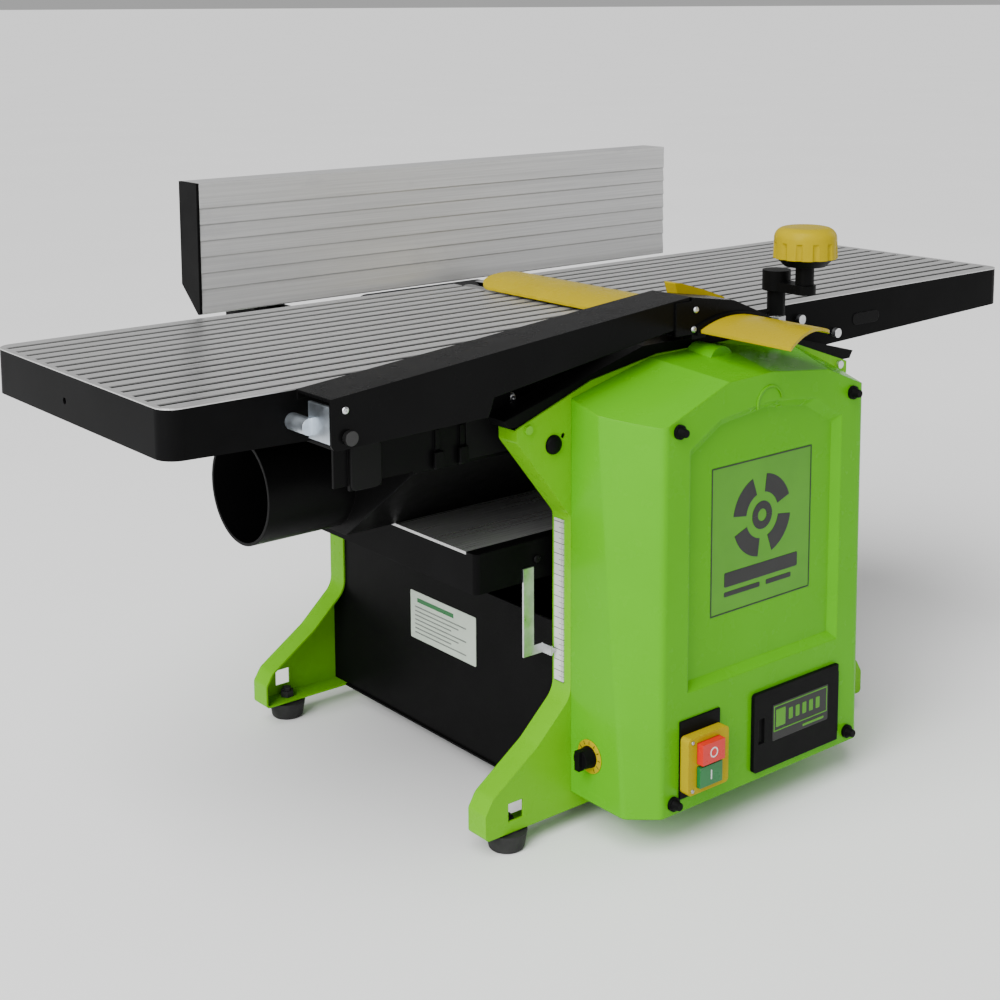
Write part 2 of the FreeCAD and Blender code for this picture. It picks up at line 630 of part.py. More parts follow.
def cover_screw(x, z, face_y, outward):
    """Black pointed thumb screw: a flange on the cover, a grip and a shank in its hole."""
    base = Vector(x, face_y, z)
    flange = Part.makeCylinder(6.5, 3, base, Y_AXIS * outward)
    grip = Part.makeCone(5, 3.5, 7, Vector(x, face_y + 2.5 * outward, z), Y_AXIS * outward)
    shank = Part.makeCylinder(2.45, 2.5, base, Y_AXIS * -outward)
    return fuse([flange, grip, shank])


def cover_screws():
    screws = [cover_screw(x, z, COVER_FRONT_Y, -1) for x, z in COVER_SCREWS]
    return screws + [cover_screw(x, z, 236, 1) for x, z in REAR_SCREWS]


REAR_OUTLINE = [(-92, TABLE_TOP - 100, 18), (-62, TABLE_TOP - 146, 18), (62, TABLE_TOP - 146, 18),
                (92, TABLE_TOP - 100, 18), (92, TABLE_TOP - 14, 14), (-92, TABLE_TOP - 14, 14)]


def rear_cover():
    """Moulded cover over the feed chain on the fence side."""
    shell = prism_xz(REAR_OUTLINE, PLATE_OUTER_Y, 236)
    wire = outline(REAR_OUTLINE, lambda x, z: Vector(x, PLATE_OUTER_Y - 1, z))
    depth = 236 - COVER_WALL - PLATE_OUTER_Y + 1
    shell = shell.cut(Part.Face(wire).makeOffset2D(-COVER_WALL).extrude(Vector(0, depth, 0)))
    for x, z in REAR_SCREWS:
        shell = shell.cut(rod_y(x, 230, 237, z, 2.5))
    return shell


# ---------------------------------------------------------------- switch and door
DOOR_X = (-18.0, 104.0)
DOOR_Z = (45.0, 121.0)
DOOR_THICKNESS = 4.0


def access_door():
    """Black service door with a finger notch on its free edge and a barrel at its hinge."""
    y1 = COVER_FRONT_Y - GAP
    y0 = y1 - DOOR_THICKNESS
    door = prism_xz([(DOOR_X[0], DOOR_Z[0], 4), (DOOR_X[1] - 4, DOOR_Z[0], 0), (DOOR_X[1] - 4, DOOR_Z[1], 0),
                     (DOOR_X[0], DOOR_Z[1], 4)], y0, y1)
    barrel = rod_z(DOOR_X[1] - 4, y0 + 2, DOOR_Z[0] + 8, DOOR_Z[1] - 8, 2)
    notch = box(DOOR_X[0] + 6, DOOR_X[0] + 14, y0 - 1, y0 + 2, 72, 96)
    return fuse([door, barrel]).cut(notch)


SWITCH_X = (-111.0, -61.0)
SWITCH_Z = (49.0, 121.0)
BUTTON_X = (-100.0, -72.0)
STOP_Z = (83.0, 102.0)
START_Z = (61.0, 80.0)
SWITCH_FACE_Y = -300.0


def switch_plate():
    plate = box(SWITCH_X[0], SWITCH_X[1], COVER_FRONT_Y - 2, COVER_FRONT_Y, SWITCH_Z[0], SWITCH_Z[1])
    return plate.cut(box(MECHANISM_X[0] - 1, MECHANISM_X[1] + 1, COVER_FRONT_Y - 3, COVER_FRONT_Y + 1, 62, 104))


def switch_housing():
    """Yellow no-volt switch body: a bezel in front, the mechanism box behind the cover."""
    y_back = COVER_FRONT_Y - 2
    bezel = prism_xz([(SWITCH_X[0], 55), (SWITCH_X[1] + 1, 55), (SWITCH_X[1] + 1, 108), (SWITCH_X[0], 108)],
                     SWITCH_FACE_Y, y_back, 4)
    mechanism = box(MECHANISM_X[0], MECHANISM_X[1], y_back - 1, COVER_FRONT_Y + 38, 63, 103)
    body = fuse([bezel, mechanism])
    for z0, z1 in (STOP_Z, START_Z):
        body = body.cut(box(BUTTON_X[0] - GAP, BUTTON_X[1] + GAP, SWITCH_FACE_Y - 1, SWITCH_FACE_Y + 9,
                            z0 - GAP, z1 + GAP))
    return body


def push_button(z_span, proud):
    return box(BUTTON_X[0], BUTTON_X[1], SWITCH_FACE_Y - proud, SWITCH_FACE_Y + 4, z_span[0], z_span[1])


# ---------------------------------------------------------------- thicknessing table and lift
TABLE_Z = CUTTER_BOTTOM - THICKNESS_REST
BED_HALF_LENGTH = 240.0
BED_HALF_WIDTH = 164.0
BED_SKIRT = 37.0


def thickness_table():
    """Cast bed with four nut lugs that ride on the elevating screws."""
    bed = box(-BED_HALF_LENGTH, BED_HALF_LENGTH, -BED_HALF_WIDTH, BED_HALF_WIDTH, TABLE_Z - BED_SKIRT, TABLE_Z)
    uprights = [edge for edge in bed.Edges if abs(edge.Vertexes[0].Z - edge.Vertexes[1].Z) > 1]
    bed = bed.makeFillet(5.0, uprights)
    wall = 6.0
    bed = bed.cut(box(-BED_HALF_LENGTH + wall, BED_HALF_LENGTH - wall, -BED_HALF_WIDTH + wall,
                      BED_HALF_WIDTH - wall, TABLE_Z - BED_SKIRT - 1, TABLE_Z - TABLE_PLATE))
    ribs = [box(x - 3, x + 3, -BED_HALF_WIDTH + 3, BED_HALF_WIDTH - 3, TABLE_Z - 28, TABLE_Z - 4)
            for x in (-120, 0, 120)]
    lugs = [box(sx * SCREW_X - 16, sx * SCREW_X + 16, min(sy * 160, sy * 191), max(sy * 160, sy * 191),
                TABLE_Z - BED_SKIRT, TABLE_Z - 8) for sx in (-1, 1) for sy in (-1, 1)]
    bed = fuse([bed] + ribs + lugs)
    for sx in (-1, 1):
        for sy in (-1, 1):
            bed = bed.cut(rod_z(sx * SCREW_X, sy * SCREW_Y, TABLE_Z - 60, TABLE_Z + 5, SCREW_RADIUS + RUNNING))
    return bed


def thickness_pointer():
    """Strip hung from the bed with a bent finger that reads the thickness scale."""
    edge = -BED_HALF_WIDTH
    low = TABLE_Z - 107
    strip = box(-187, -175, edge - 2, edge, low, TABLE_Z - 24)
    foot = box(-187, -163, edge - 2, edge, low, low + 9)
    finger = box(-165, -163, -178, edge, low, low + 9)
    tip = prism_xz([(-165, low + 9), (-165, low), (-158.5, low + 4.5)], -178, -176)
    return fuse([strip, foot, finger, tip])


def scale_strip():
    """Thickness scale on the outfeed flange of the operator's side plate."""
    x = -PLATE_HALF_WAIST
    return box(x - 1, x, -187, -174.4, TABLE_TOP - 308, TABLE_TOP - 155)


LIFT_SPROCKET_Z = (26.0, 32.0)
LIFT_SPROCKET_RADIUS = 10.0


def lift_screw(x, y, top_z):
    """Elevating screw: threaded middle, plain journals and a chain sprocket above its bush."""
    z0, z1 = LIFT_SPROCKET_Z
    wheel = rod_z(x, y, z0, z1, LIFT_SPROCKET_RADIUS)
    for k in range(9):
        angle = 2 * math.pi * k / 9
        wheel = wheel.cut(rod_z(x + LIFT_SPROCKET_RADIUS * math.cos(angle),
                                y + LIFT_SPROCKET_RADIUS * math.sin(angle), z0 - 1, z1 + 1, 1.8))
    return fuse([rod_z(x, y, 16, top_z, 6), rod_z(x, y, z1 + 2, TABLE_TOP - 82, SCREW_RADIUS), wheel])


def crank_screw():
    """The operator's side screw on the infeed side rises through the frame to carry the crank."""
    spindle = lift_screw(SCREW_X, -SCREW_Y, TABLE_TOP + 20)
    nut = hexagon_z(SCREW_X, -SCREW_Y, TABLE_TOP - 14, TABLE_TOP - 4, 17)
    return fuse([spindle, nut])


def screw_bushes():
    """Flanged bushes that hold the screws in the plates' bottom flanges."""
    bushes = []
    for sx in (-1, 1):
        for sy in (-1, 1):
            x, y = sx * SCREW_X, sy * SCREW_Y
            bush = fuse([rod_z(x, y, 16, 25, 8.5), rod_z(x, y, PLATE_BOTTOM + PLATE_SHEET, 25, 10.9)])
            bushes.append(bush.cut(rod_z(x, y, 10, 30, 6 + RUNNING)))
    return bushes


def lift_chain():
    """Chain that ties the four screws together in the base, drawn as its envelope."""
    def loop(extra):
        reach_x = SCREW_X + LIFT_SPROCKET_RADIUS + extra
        reach_y = SCREW_Y + LIFT_SPROCKET_RADIUS + extra
        corners = [(-reach_x, -reach_y), (reach_x, -reach_y), (reach_x, reach_y), (-reach_x, reach_y)]
        return prism_xy(corners, LIFT_SPROCKET_Z[0] + 1, LIFT_SPROCKET_Z[1] - 1, LIFT_SPROCKET_RADIUS + extra)
    return loop(GAP + 3).cut(loop(GAP))


CRANK_DX = 0.0
CRANK_DY = -36.0
KNOB_NECK_Z = TABLE_TOP + 31.0 + GAP
KNOB_SKIRT_Z = TABLE_TOP + 50.0
KNOB_CAP_Z = TABLE_TOP + 58.0
KNOB_TOP_Z = TABLE_TOP + 88.0
PIN_TOP_Z = TABLE_TOP + 70.0


def crank_arm():
    """Forged arm: sleeve and hub on the spindle, web, and an upright pin for the knob."""
    hub_x, hub_y = SCREW_X, -SCREW_Y
    pin_x, pin_y = hub_x + CRANK_DX, hub_y + CRANK_DY
    z0 = TABLE_TOP + 22
    length = math.hypot(CRANK_DX, CRANK_DY)
    side = Vector(-CRANK_DY / length, CRANK_DX / length, 0) * 10
    a, b = Vector(hub_x, hub_y, z0), Vector(pin_x, pin_y, z0)
    corners = [a + side, b + side, b - side, a - side]
    web = Part.Face(Part.makePolygon(corners + corners[:1])).extrude(Vector(0, 0, 9))
    body = fuse([rod_z(hub_x, hub_y, TABLE_TOP - 3, z0, 9), rod_z(hub_x, hub_y, z0, z0 + 20, 14), web,
                 rod_z(pin_x, pin_y, z0, z0 + 9, 11), rod_z(pin_x, pin_y, z0, PIN_TOP_Z - 1, 5)])
    return body.cut(rod_z(hub_x, hub_y, TABLE_TOP - 4, TABLE_TOP + 20, 6.02))


def knob_part(shape):
    """Bore a part of the knob for the crank's pin."""
    x, y = SCREW_X + CRANK_DX, -SCREW_Y + CRANK_DY
    return shape.cut(rod_z(x, y, KNOB_NECK_Z - 1, PIN_TOP_Z, 5 + RUNNING))


def crank_knob_skirt():
    """Black lower part of the knob: a neck that flares under the cap."""
    x, y = SCREW_X + CRANK_DX, -SCREW_Y + CRANK_DY
    neck = rod_z(x, y, KNOB_NECK_Z, KNOB_SKIRT_Z, 9)
    flare = Part.makeCone(20, 28, KNOB_CAP_Z - KNOB_SKIRT_Z, Vector(x, y, KNOB_SKIRT_Z), Z_AXIS)
    return knob_part(fuse([neck, flare]))


def crank_knob_cap():
    """Yellow upper part of the knob with grip flutes round its rim."""
    x, y = SCREW_X + CRANK_DX, -SCREW_Y + CRANK_DY
    body = Part.makeCone(31, 30, KNOB_TOP_Z - KNOB_CAP_Z, Vector(x, y, KNOB_CAP_Z), Z_AXIS)
    rim = [edge for edge in body.Edges if edge.BoundBox.ZMin > KNOB_TOP_Z - 0.01]
    body = body.makeFillet(11.0, rim)
    for k in range(12):
        angle = math.radians(30 * k)
        flute_x, flute_y = x + 33 * math.cos(angle), y + 33 * math.sin(angle)
        body = body.cut(rod_z(flute_x, flute_y, KNOB_CAP_Z - 1, KNOB_CAP_Z + 16, 4))
    return knob_part(body)


# ---------------------------------------------------------------- dust hood
def dust_hood():
    """Hood between the cutter and the thicknessing bed: open above, with a round spigot at its end."""
    x_port, x_wing, x_box, x_end = -386.0, -377.0, -296.0, 62.0
    top, wall = TABLE_TOP - 57.5, PORT_WALL

    def section(inset):
        floor = TABLE_Z + GAP + inset
        return [(150 - inset, top - inset), (-150 + inset, top - inset), (-150 + inset, TABLE_TOP - 95),
                (-44, floor), (44, floor), (150 - inset, TABLE_TOP - 95)]

    hopper = prism_yz(section(0), x_box, x_end)
    wings = [box(x_wing, x_box + 1, y, y + wall, TABLE_TOP - 93, top) for y in (-150, 150 - wall)]
    deck = box(x_wing, x_box + 1, -150, 150, top - wall, top)
    ribs = [box(x, x + 5, -152.5, -149, TABLE_TOP - 95, top - 2) for x in (-274, -247)]
    ribs.append(box(-363, -331, -153, -149, TABLE_TOP - 97, top - 2))
    body = fuse([hopper, rod_x(x_port, x_box + 1, PORT_Y, PORT_Z, PORT_RADIUS), deck] + wings + ribs)
    body = body.cut(prism_yz(section(wall), x_box + wall, x_end - wall))
    body = body.cut(rod_x(x_port - 1, x_box + wall + 1, PORT_Y, PORT_Z, PORT_RADIUS - wall))
    return body.cut(box(-38, 38, -142, 142, top - wall - 1, top + 1))


# ---------------------------------------------------------------- guard
ARM_NEAR_Y = -215.0
ARM_FAR_Y = -165.0
ARM_START_X = -421.0
ARM_END_X = -28.0
ARM_RISE = 0.0911          # slope of the arm's top, which rises towards the cutter
ARM_SHEET = 2.5


def arm_top(x):
    """Height of the arm's top face above the bench at x."""
    return TABLE_TOP + 0.8 + ARM_RISE * (x - ARM_START_X)


def guard_arm():
    """Folded steel arm: a top flange with a deep near wall and a short far lip."""
    x0, x1 = ARM_START_X, ARM_END_X
    near = [(x0, arm_top(x0), 0), (x1, arm_top(x1), 0), (x1, arm_top(x1) - 26, 6), (-62, arm_top(-62) - 27, 0),
            (-259, TABLE_TOP - 22, 0), (-265, TABLE_TOP - 38, 0), (x0, TABLE_TOP - 41, 6)]
    wall = prism_xz(near, ARM_NEAR_Y, ARM_NEAR_Y + ARM_SHEET)
    top = prism_xz([(x0, arm_top(x0)), (x1, arm_top(x1)), (x1, arm_top(x1) - ARM_SHEET),
                    (x0, arm_top(x0) - ARM_SHEET)], ARM_NEAR_Y, ARM_FAR_Y)
    lip = prism_xz([(x0, arm_top(x0)), (x1, arm_top(x1)), (x1, arm_top(x1) - 8), (x0, arm_top(x0) - 8)],
                   ARM_FAR_Y - ARM_SHEET, ARM_FAR_Y)
    return fuse([wall, top, lip]).cut(rod_y(PIVOT_X, ARM_NEAR_Y - 1, ARM_NEAR_Y + 4, PIVOT_Z, 4 + RUNNING))


PIVOT_X = -405.0
PIVOT_Z = TABLE_TOP - 31.5


def guard_clamp():
    """Galvanised clamp on the outfeed table's edge, with the pivot bolt of the guard arm."""
    inner = ARM_NEAR_Y + ARM_SHEET + GAP
    end_plate = box(-420, -417, inner, -181, TABLE_TOP - 36, TABLE_TOP - 6)
    ear = box(-420, -395, inner, inner + 3, TABLE_TOP - 36, TABLE_TOP - 24)
    stud = rod_y(-422, -186, -TABLE_HALF_WIDTH, TABLE_TOP - 26, 7)
    bolt = rod_y(PIVOT_X, ARM_NEAR_Y - 4, inner + 1, PIVOT_Z, 4)
    head = rod_y(PIVOT_X, ARM_NEAR_Y - 5, ARM_NEAR_Y - GAP, PIVOT_Z, 6)
    return fuse([end_plate, ear, stud, bolt, head])


BLADE_X = (-19.0, 68.0)
BLADE_Y = (-328.0, 118.0)
BLADE_EDGE_Z = TABLE_TOP + 2.5
BLADE_CROWN = 9.0
BLADE_SHEET = 3.0


def crowned_strip(x0, x1, edge_z, crown, thickness, y0, y1):
    """A strip along Y that is arched across its width."""
    middle = (x0 + x1) / 2

    def arc(z, rise):
        return Part.Arc(Vector(x0, y0, z), Vector(middle, y0, z + rise), Vector(x1, y0, z)).toShape()

    def side(x):
        return Part.LineSegment(Vector(x, y0, edge_z), Vector(x, y0, edge_z + thickness)).toShape()
    edges = [arc(edge_z, crown), side(x1), arc(edge_z + thickness, crown), side(x0)]
    wire = Part.Wire(Part.sortEdges(edges)[0])
    return Part.Face(wire).extrude(Vector(0, y1 - y0, 0))


def guard_blade():
    """Arched yellow guard blade that slides across the tables through its carriage."""
    x0, x1 = BLADE_X
    blade = crowned_strip(x0, x1, BLADE_EDGE_Z, BLADE_CROWN, BLADE_SHEET, *BLADE_Y)
    plan = prism_xy([(BLADE_X[0], BLADE_Y[0], 0), (BLADE_X[1], BLADE_Y[0] + 28, 8), (BLADE_X[1], BLADE_Y[1], 5),
                     (BLADE_X[0], BLADE_Y[1], 26)], TABLE_TOP, TABLE_TOP + 40)
    return blade.common(plan)


def guard_carriage():
    """Black carriage at the arm's end with an arched way that holds the blade by its edges."""
    top = TABLE_TOP
    y0, y1 = ARM_NEAR_Y - 2, -180.0
    x0 = ARM_END_X + GAP
    block = prism_xz([(x0, top - 3, 2), (x0, top + 36.5, 0), (28, top + 27.5, 0), (60, top + 14, 0),
                      (80, top + 5, 0), (80, top - 3, 2)], y0, y1)
    rim = crowned_strip(BLADE_X[0] - 4, BLADE_X[1] + 4, BLADE_EDGE_Z - 2, BLADE_CROWN,
                        BLADE_SHEET + 5, y0 - 3, y0)
    block = fuse([block, rim, box(-48, x0 + 6, y0, ARM_NEAR_Y, top + 2, top + 33)])
    way = crowned_strip(BLADE_X[0] - GAP, BLADE_X[1] + GAP, BLADE_EDGE_Z - GAP, BLADE_CROWN,
                        BLADE_SHEET + 2 * GAP, y0 - 4, y1 + 1)
    under = box(BLADE_X[0] + 9, BLADE_X[1] - 9, y0 - 4, y1 + 1, top - 4, top + 3)
    crown = crowned_strip(BLADE_X[0] + 9, BLADE_X[1] - 9, top + 2, 9, 2, y0 - 4, y1 + 1)
    return block.cut(way).cut(under).cut(crown).cut(rod_y(LEVER_X, -192, y1 + 1, LEVER_Z, 3.5 + RUNNING))


LEVER_X = 14.0
LEVER_Z = TABLE_TOP + 22.0


def blade_lock_lever():
    """Yellow cam lever behind the carriage that clamps the blade."""
    z0 = TABLE_TOP
    wing = prism_xz([(2, z0 + 40), (10, z0 + 39), (40, z0 + 30), (70, z0 + 19), (69, z0 + 15.5), (40, z0 + 21),
                     (20, z0 + 17.5), (9, z0 + 17.5), (7, z0 + 26)], -165, -150, 0.6)
    pivot = rod_y(LEVER_X, -191, -160, LEVER_Z, 3.5)
    boss = rod_y(LEVER_X, -180 + GAP, -165, LEVER_Z, 5.5)
    return fuse([wing, pivot, boss])


# ---------------------------------------------------------------- fence
FENCE_FOOT_Z = TABLE_TOP + 1.0
FENCE_STEPS = (24, 40, 56, 72, 88, 104)   # heights of the lap lines on the fence's face
TILT_Y = FENCE_FACE_Y + 21.0
TILT_Z = FENCE_FOOT_Z + 8.0
CARRIER_X = (-212.0, -168.0)
BAR_X = (-202.0, -178.0)
BAR_Z = (TABLE_TOP - 38.0, TABLE_TOP - 18.0)
BAR_Y = (243.0, 328.0)
LOCK_Y = 240.0
LOCK_Z = TABLE_TOP - 28.0
TILT_LEVER_Y = 238.0
TILT_LEVER_Z = TABLE_TOP + 14.0


def fence():
    """Aluminium fence: stepped front face, bevelled lower back edge, T slots and a hinge knuckle."""
    x0, x1 = FENCE_START_X + 3, FENCE_START_X + FENCE_LENGTH
    z0, z1 = FENCE_FOOT_Z, FENCE_FOOT_Z + FENCE_HEIGHT
    face, back = FENCE_FACE_Y, FENCE_FACE_Y + FENCE_DEPTH
    profile = [(back, z1), (face, z1)]
    for rise in reversed(FENCE_STEPS):
        profile += [(face, z0 + rise + 1.5), (face + 1.2, z0 + rise)]
    profile += [(face, z0 + 8), (face, z0 + 1), (face + 1, z0), (face + 4, z0), (back, z0 + 27)]
    body = prism_yz(profile, x0, x1)
    for z in (z0 + 45, z0 + 95):
        body = body.cut(box(x0 - 1, x1 + 1, back - 8, back + 1, z - 4, z + 4))
        body = body.cut(box(x0 - 1, x1 + 1, back - 14, back - 8, z - 8, z + 8))
    knuckle = fuse([rod_x(-206, -174, TILT_Y, TILT_Z, 4.8),
                    prism_yz([(TILT_Y - 3.5, TILT_Z + 3), (TILT_Y - 9, TILT_Z + 4), (TILT_Y + 5, TILT_Z + 15),
                              (TILT_Y + 4.5, TILT_Z + 1.5)], -206, -174)])
    body = fuse([body, knuckle])
    return body.cut(rod_x(-207, -173, TILT_Y, TILT_Z, 3 + RUNNING))


def fence_end_cap():
    """Black plastic cap on the outfeed end of the fence."""
    z0, z1 = FENCE_FOOT_Z, FENCE_FOOT_Z + FENCE_HEIGHT
    face, back = FENCE_FACE_Y, FENCE_FACE_Y + FENCE_DEPTH
    profile = [(face, z0 + 1), (face + 1, z0), (face + 4, z0), (back, z0 + 27), (back, z1), (face, z1)]
    return prism_yz(profile, FENCE_START_X, FENCE_START_X + 3)


def fence_carrier():
    """Bracket that the fence tilts on: two lugs with a pin, a plate, and the slide bar below."""
    top = TABLE_TOP
    parts = [box(CARRIER_X[0], CARRIER_X[1], 198, 270, top + 2, top + 8),
             box(BAR_X[0] + GAP, BAR_X[1] - GAP, BAR_Y[0], BAR_Y[0] + 26, BAR_Z[0], top + 3),
             box(BAR_X[0] + GAP, BAR_X[1] - GAP, BAR_Y[0], BAR_Y[1], BAR_Z[0], BAR_Z[1]),
             rod_x(-215, -165, TILT_Y, TILT_Z, 3)]
    for x0 in (-216, -173.7):
        lug = prism_yz([(TILT_Y, TILT_Z + 4.4), (200, top + 10), (205, top + 8), (205, top + 2),
                        (TILT_Y + 2, TILT_Z - 4.4)], x0, x0 + 9.7)
        parts += [lug, rod_x(x0, x0 + 9.7, TILT_Y, TILT_Z, 4.6)]
    ear = box(-176, -170, TILT_LEVER_Y - 8, TILT_LEVER_Y + 8, top + 7, top + 20)
    stub = rod_x(-171, -157, TILT_LEVER_Y, TILT_LEVER_Z, 3)
    return fuse(parts + [ear, stub])


def fence_tilt_lever():
    """Clamp lever for the fence's angle."""
    hub = rod_x(-170 + GAP, -158, TILT_LEVER_Y, TILT_LEVER_Z, 6)
    handle = prism_yz([(TILT_LEVER_Y, TILT_LEVER_Z - 3), (288, TILT_LEVER_Z - 2), (288, TILT_LEVER_Z + 4),
                       (TILT_LEVER_Y, TILT_LEVER_Z + 4)], -167, -160, 1)
    return fuse([hub, handle]).cut(rod_x(-172, -156, TILT_LEVER_Y, TILT_LEVER_Z, 3 + RUNNING))


def fence_base():
    """Guide bolted to the far side plate, with an open-topped way for the carrier's bar."""
    x0, x1 = CARRIER_X
    body = fuse([box(x0, x1, PLATE_OUTER_Y, 290, BAR_Z[0] - 10, BAR_Z[1]),
                 box(-198, -150, PLATE_OUTER_Y, PLATE_OUTER_Y + 6, TABLE_TOP - 86, BAR_Z[1])])
    body = body.cut(box(BAR_X[0], BAR_X[1], PLATE_OUTER_Y - 1, 291, BAR_Z[0] - GAP, BAR_Z[1] + 1))
    return body.cut(rod_x(x0 - 1, x0 + 8.5, LOCK_Y, LOCK_Z, 4 + RUNNING))


def fence_lock_lever():
    """Clamp lever for the fence's slide, with its spindle in the guide's wall."""
    x1 = CARRIER_X[0]
    spindle = rod_x(x1 - 8, x1 + 8, LOCK_Y, LOCK_Z, 4)
    hub = rod_x(x1 - 9, x1 - GAP, LOCK_Y, LOCK_Z, 8)
    handle = prism_yz([(LOCK_Y, LOCK_Z - 4), (288, LOCK_Z - 3), (288, LOCK_Z + 4), (LOCK_Y, LOCK_Z + 5)],
                      x1 - 7.5, x1 - 2.5, 1)
    return fuse([spindle, hub, handle])


# ---------------------------------------------------------------- small fittings
def cable_gland():
    """Cable gland in the far side plate, with no cord in it."""
    y0 = PLATE_OUTER_Y
    gland = fuse([rod_y(GLAND_X, y0, y0 + 5, GLAND_Z, 10), rod_y(GLAND_X, y0 + 4, y0 + 22, GLAND_Z, 8)])
    return gland.cut(rod_y(GLAND_X, y0 - 1, y0 + 23, GLAND_Z, 4))


def main():
    os.makedirs("parts", exist_ok=True)
    save("near_side_plate", near_side_plate())
    save("far_side_plate", far_side_plate())
    save("base_panels", [base_panel(), mirror_x(base_panel())])
    save("base_tray", base_tray())
    save("rubber_feet", [rubber_foot(sx * FOOT_X, sy * FOOT_Y) for sx in (-1, 1) for sy in (-1, 1)])
    save("near_arch_bracket", near_arch_bracket())
    save("far_arch_bracket", far_arch_bracket())
    save("outfeed_table", outfeed_table())
    save("infeed_table", infeed_table())
    save("table_bolts", table_bolts())
    save("cutter_block", cutter_block())
    save("knives", knives())
    save("knife_wedges", knife_wedges())
    save("cutter_bearings", cutter_bearings())
    save("cutter_pulley", cutter_pulley())
    save("motor_pulley", motor_pulley())
    save("drive_belt", drive_belt())
    save("motor", motor())
    save("infeed_roller", feed_roller(ROLLER_X, 24))
    save("outfeed_roller", feed_roller(-ROLLER_X, 0))
    save("feed_gearbox", feed_gearbox())
    save("feed_drive_sprocket", feed_drive_sprocket())
    save("feed_chain", feed_chain())
    save("kickback_fingers", kickback_fingers())
    save("drive_cover", drive_cover())
    save("feed_selector_knob", feed_selector_knob())
    save("cover_screws", cover_screws())
    save("rear_cover", rear_cover())
    save("access_door", access_door())
    save("switch_plate", switch_plate())
    save("switch_housing", switch_housing())
    save("stop_button", push_button(STOP_Z, 7))
    save("start_button", push_button(START_Z, 4))
    save("thickness_table", thickness_table())
    save("thickness_pointer", thickness_pointer())
    save("crank_screw", crank_screw())
    save("lift_screw_near_outfeed", lift_screw(-SCREW_X, -SCREW_Y, TABLE_TOP - 63))
    save("lift_screw_far_outfeed", lift_screw(-SCREW_X, SCREW_Y, TABLE_TOP - 63))
    save("lift_screw_far_infeed", lift_screw(SCREW_X, SCREW_Y, TABLE_TOP - 63))
    save("screw_bushes", screw_bushes())
    save("lift_chain", lift_chain())
    save("crank_arm", crank_arm())
    save("crank_knob_skirt", crank_knob_skirt())
    save("crank_knob_cap", crank_knob_cap())
    save("dust_hood", dust_hood())
    save("guard_arm", guard_arm())
    save("guard_clamp", guard_clamp())
    save("guard_blade", guard_blade())
    save("guard_carriage", guard_carriage())
    save("blade_lock_lever", blade_lock_lever())
    save("fence", fence())
    save("fence_carrier", fence_carrier())
    save("fence_tilt_lever", fence_tilt_lever())
    save("fence_base", fence_base())
    save("fence_lock_lever", fence_lock_lever())
    save("depth_knob", depth_knob())
    save("infeed_table_bolts", infeed_table_bolts())
    save("scale_strip", scale_strip())
    save("fence_end_cap", fence_end_cap())
    save("cable_gland", cable_gland())


main()
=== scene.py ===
"""Studio scene of a bench-top planer thicknesser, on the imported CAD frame."""
import bmesh
import bpy
import math
from mathutils import Matrix, Vector


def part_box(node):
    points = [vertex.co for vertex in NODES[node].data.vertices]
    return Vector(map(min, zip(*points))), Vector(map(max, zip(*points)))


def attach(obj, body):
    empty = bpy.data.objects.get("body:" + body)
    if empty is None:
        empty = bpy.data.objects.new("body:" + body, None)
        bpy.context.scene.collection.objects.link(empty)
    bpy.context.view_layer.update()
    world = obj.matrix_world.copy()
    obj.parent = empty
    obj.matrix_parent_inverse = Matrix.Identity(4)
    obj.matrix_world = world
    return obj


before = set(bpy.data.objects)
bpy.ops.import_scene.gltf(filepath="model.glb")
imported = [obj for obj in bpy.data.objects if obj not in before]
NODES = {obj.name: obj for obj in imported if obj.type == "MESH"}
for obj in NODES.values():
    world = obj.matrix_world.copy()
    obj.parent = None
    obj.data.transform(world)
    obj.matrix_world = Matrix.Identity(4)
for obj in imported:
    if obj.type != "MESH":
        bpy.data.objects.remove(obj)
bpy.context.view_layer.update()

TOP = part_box("outfeed_table")[1][2]


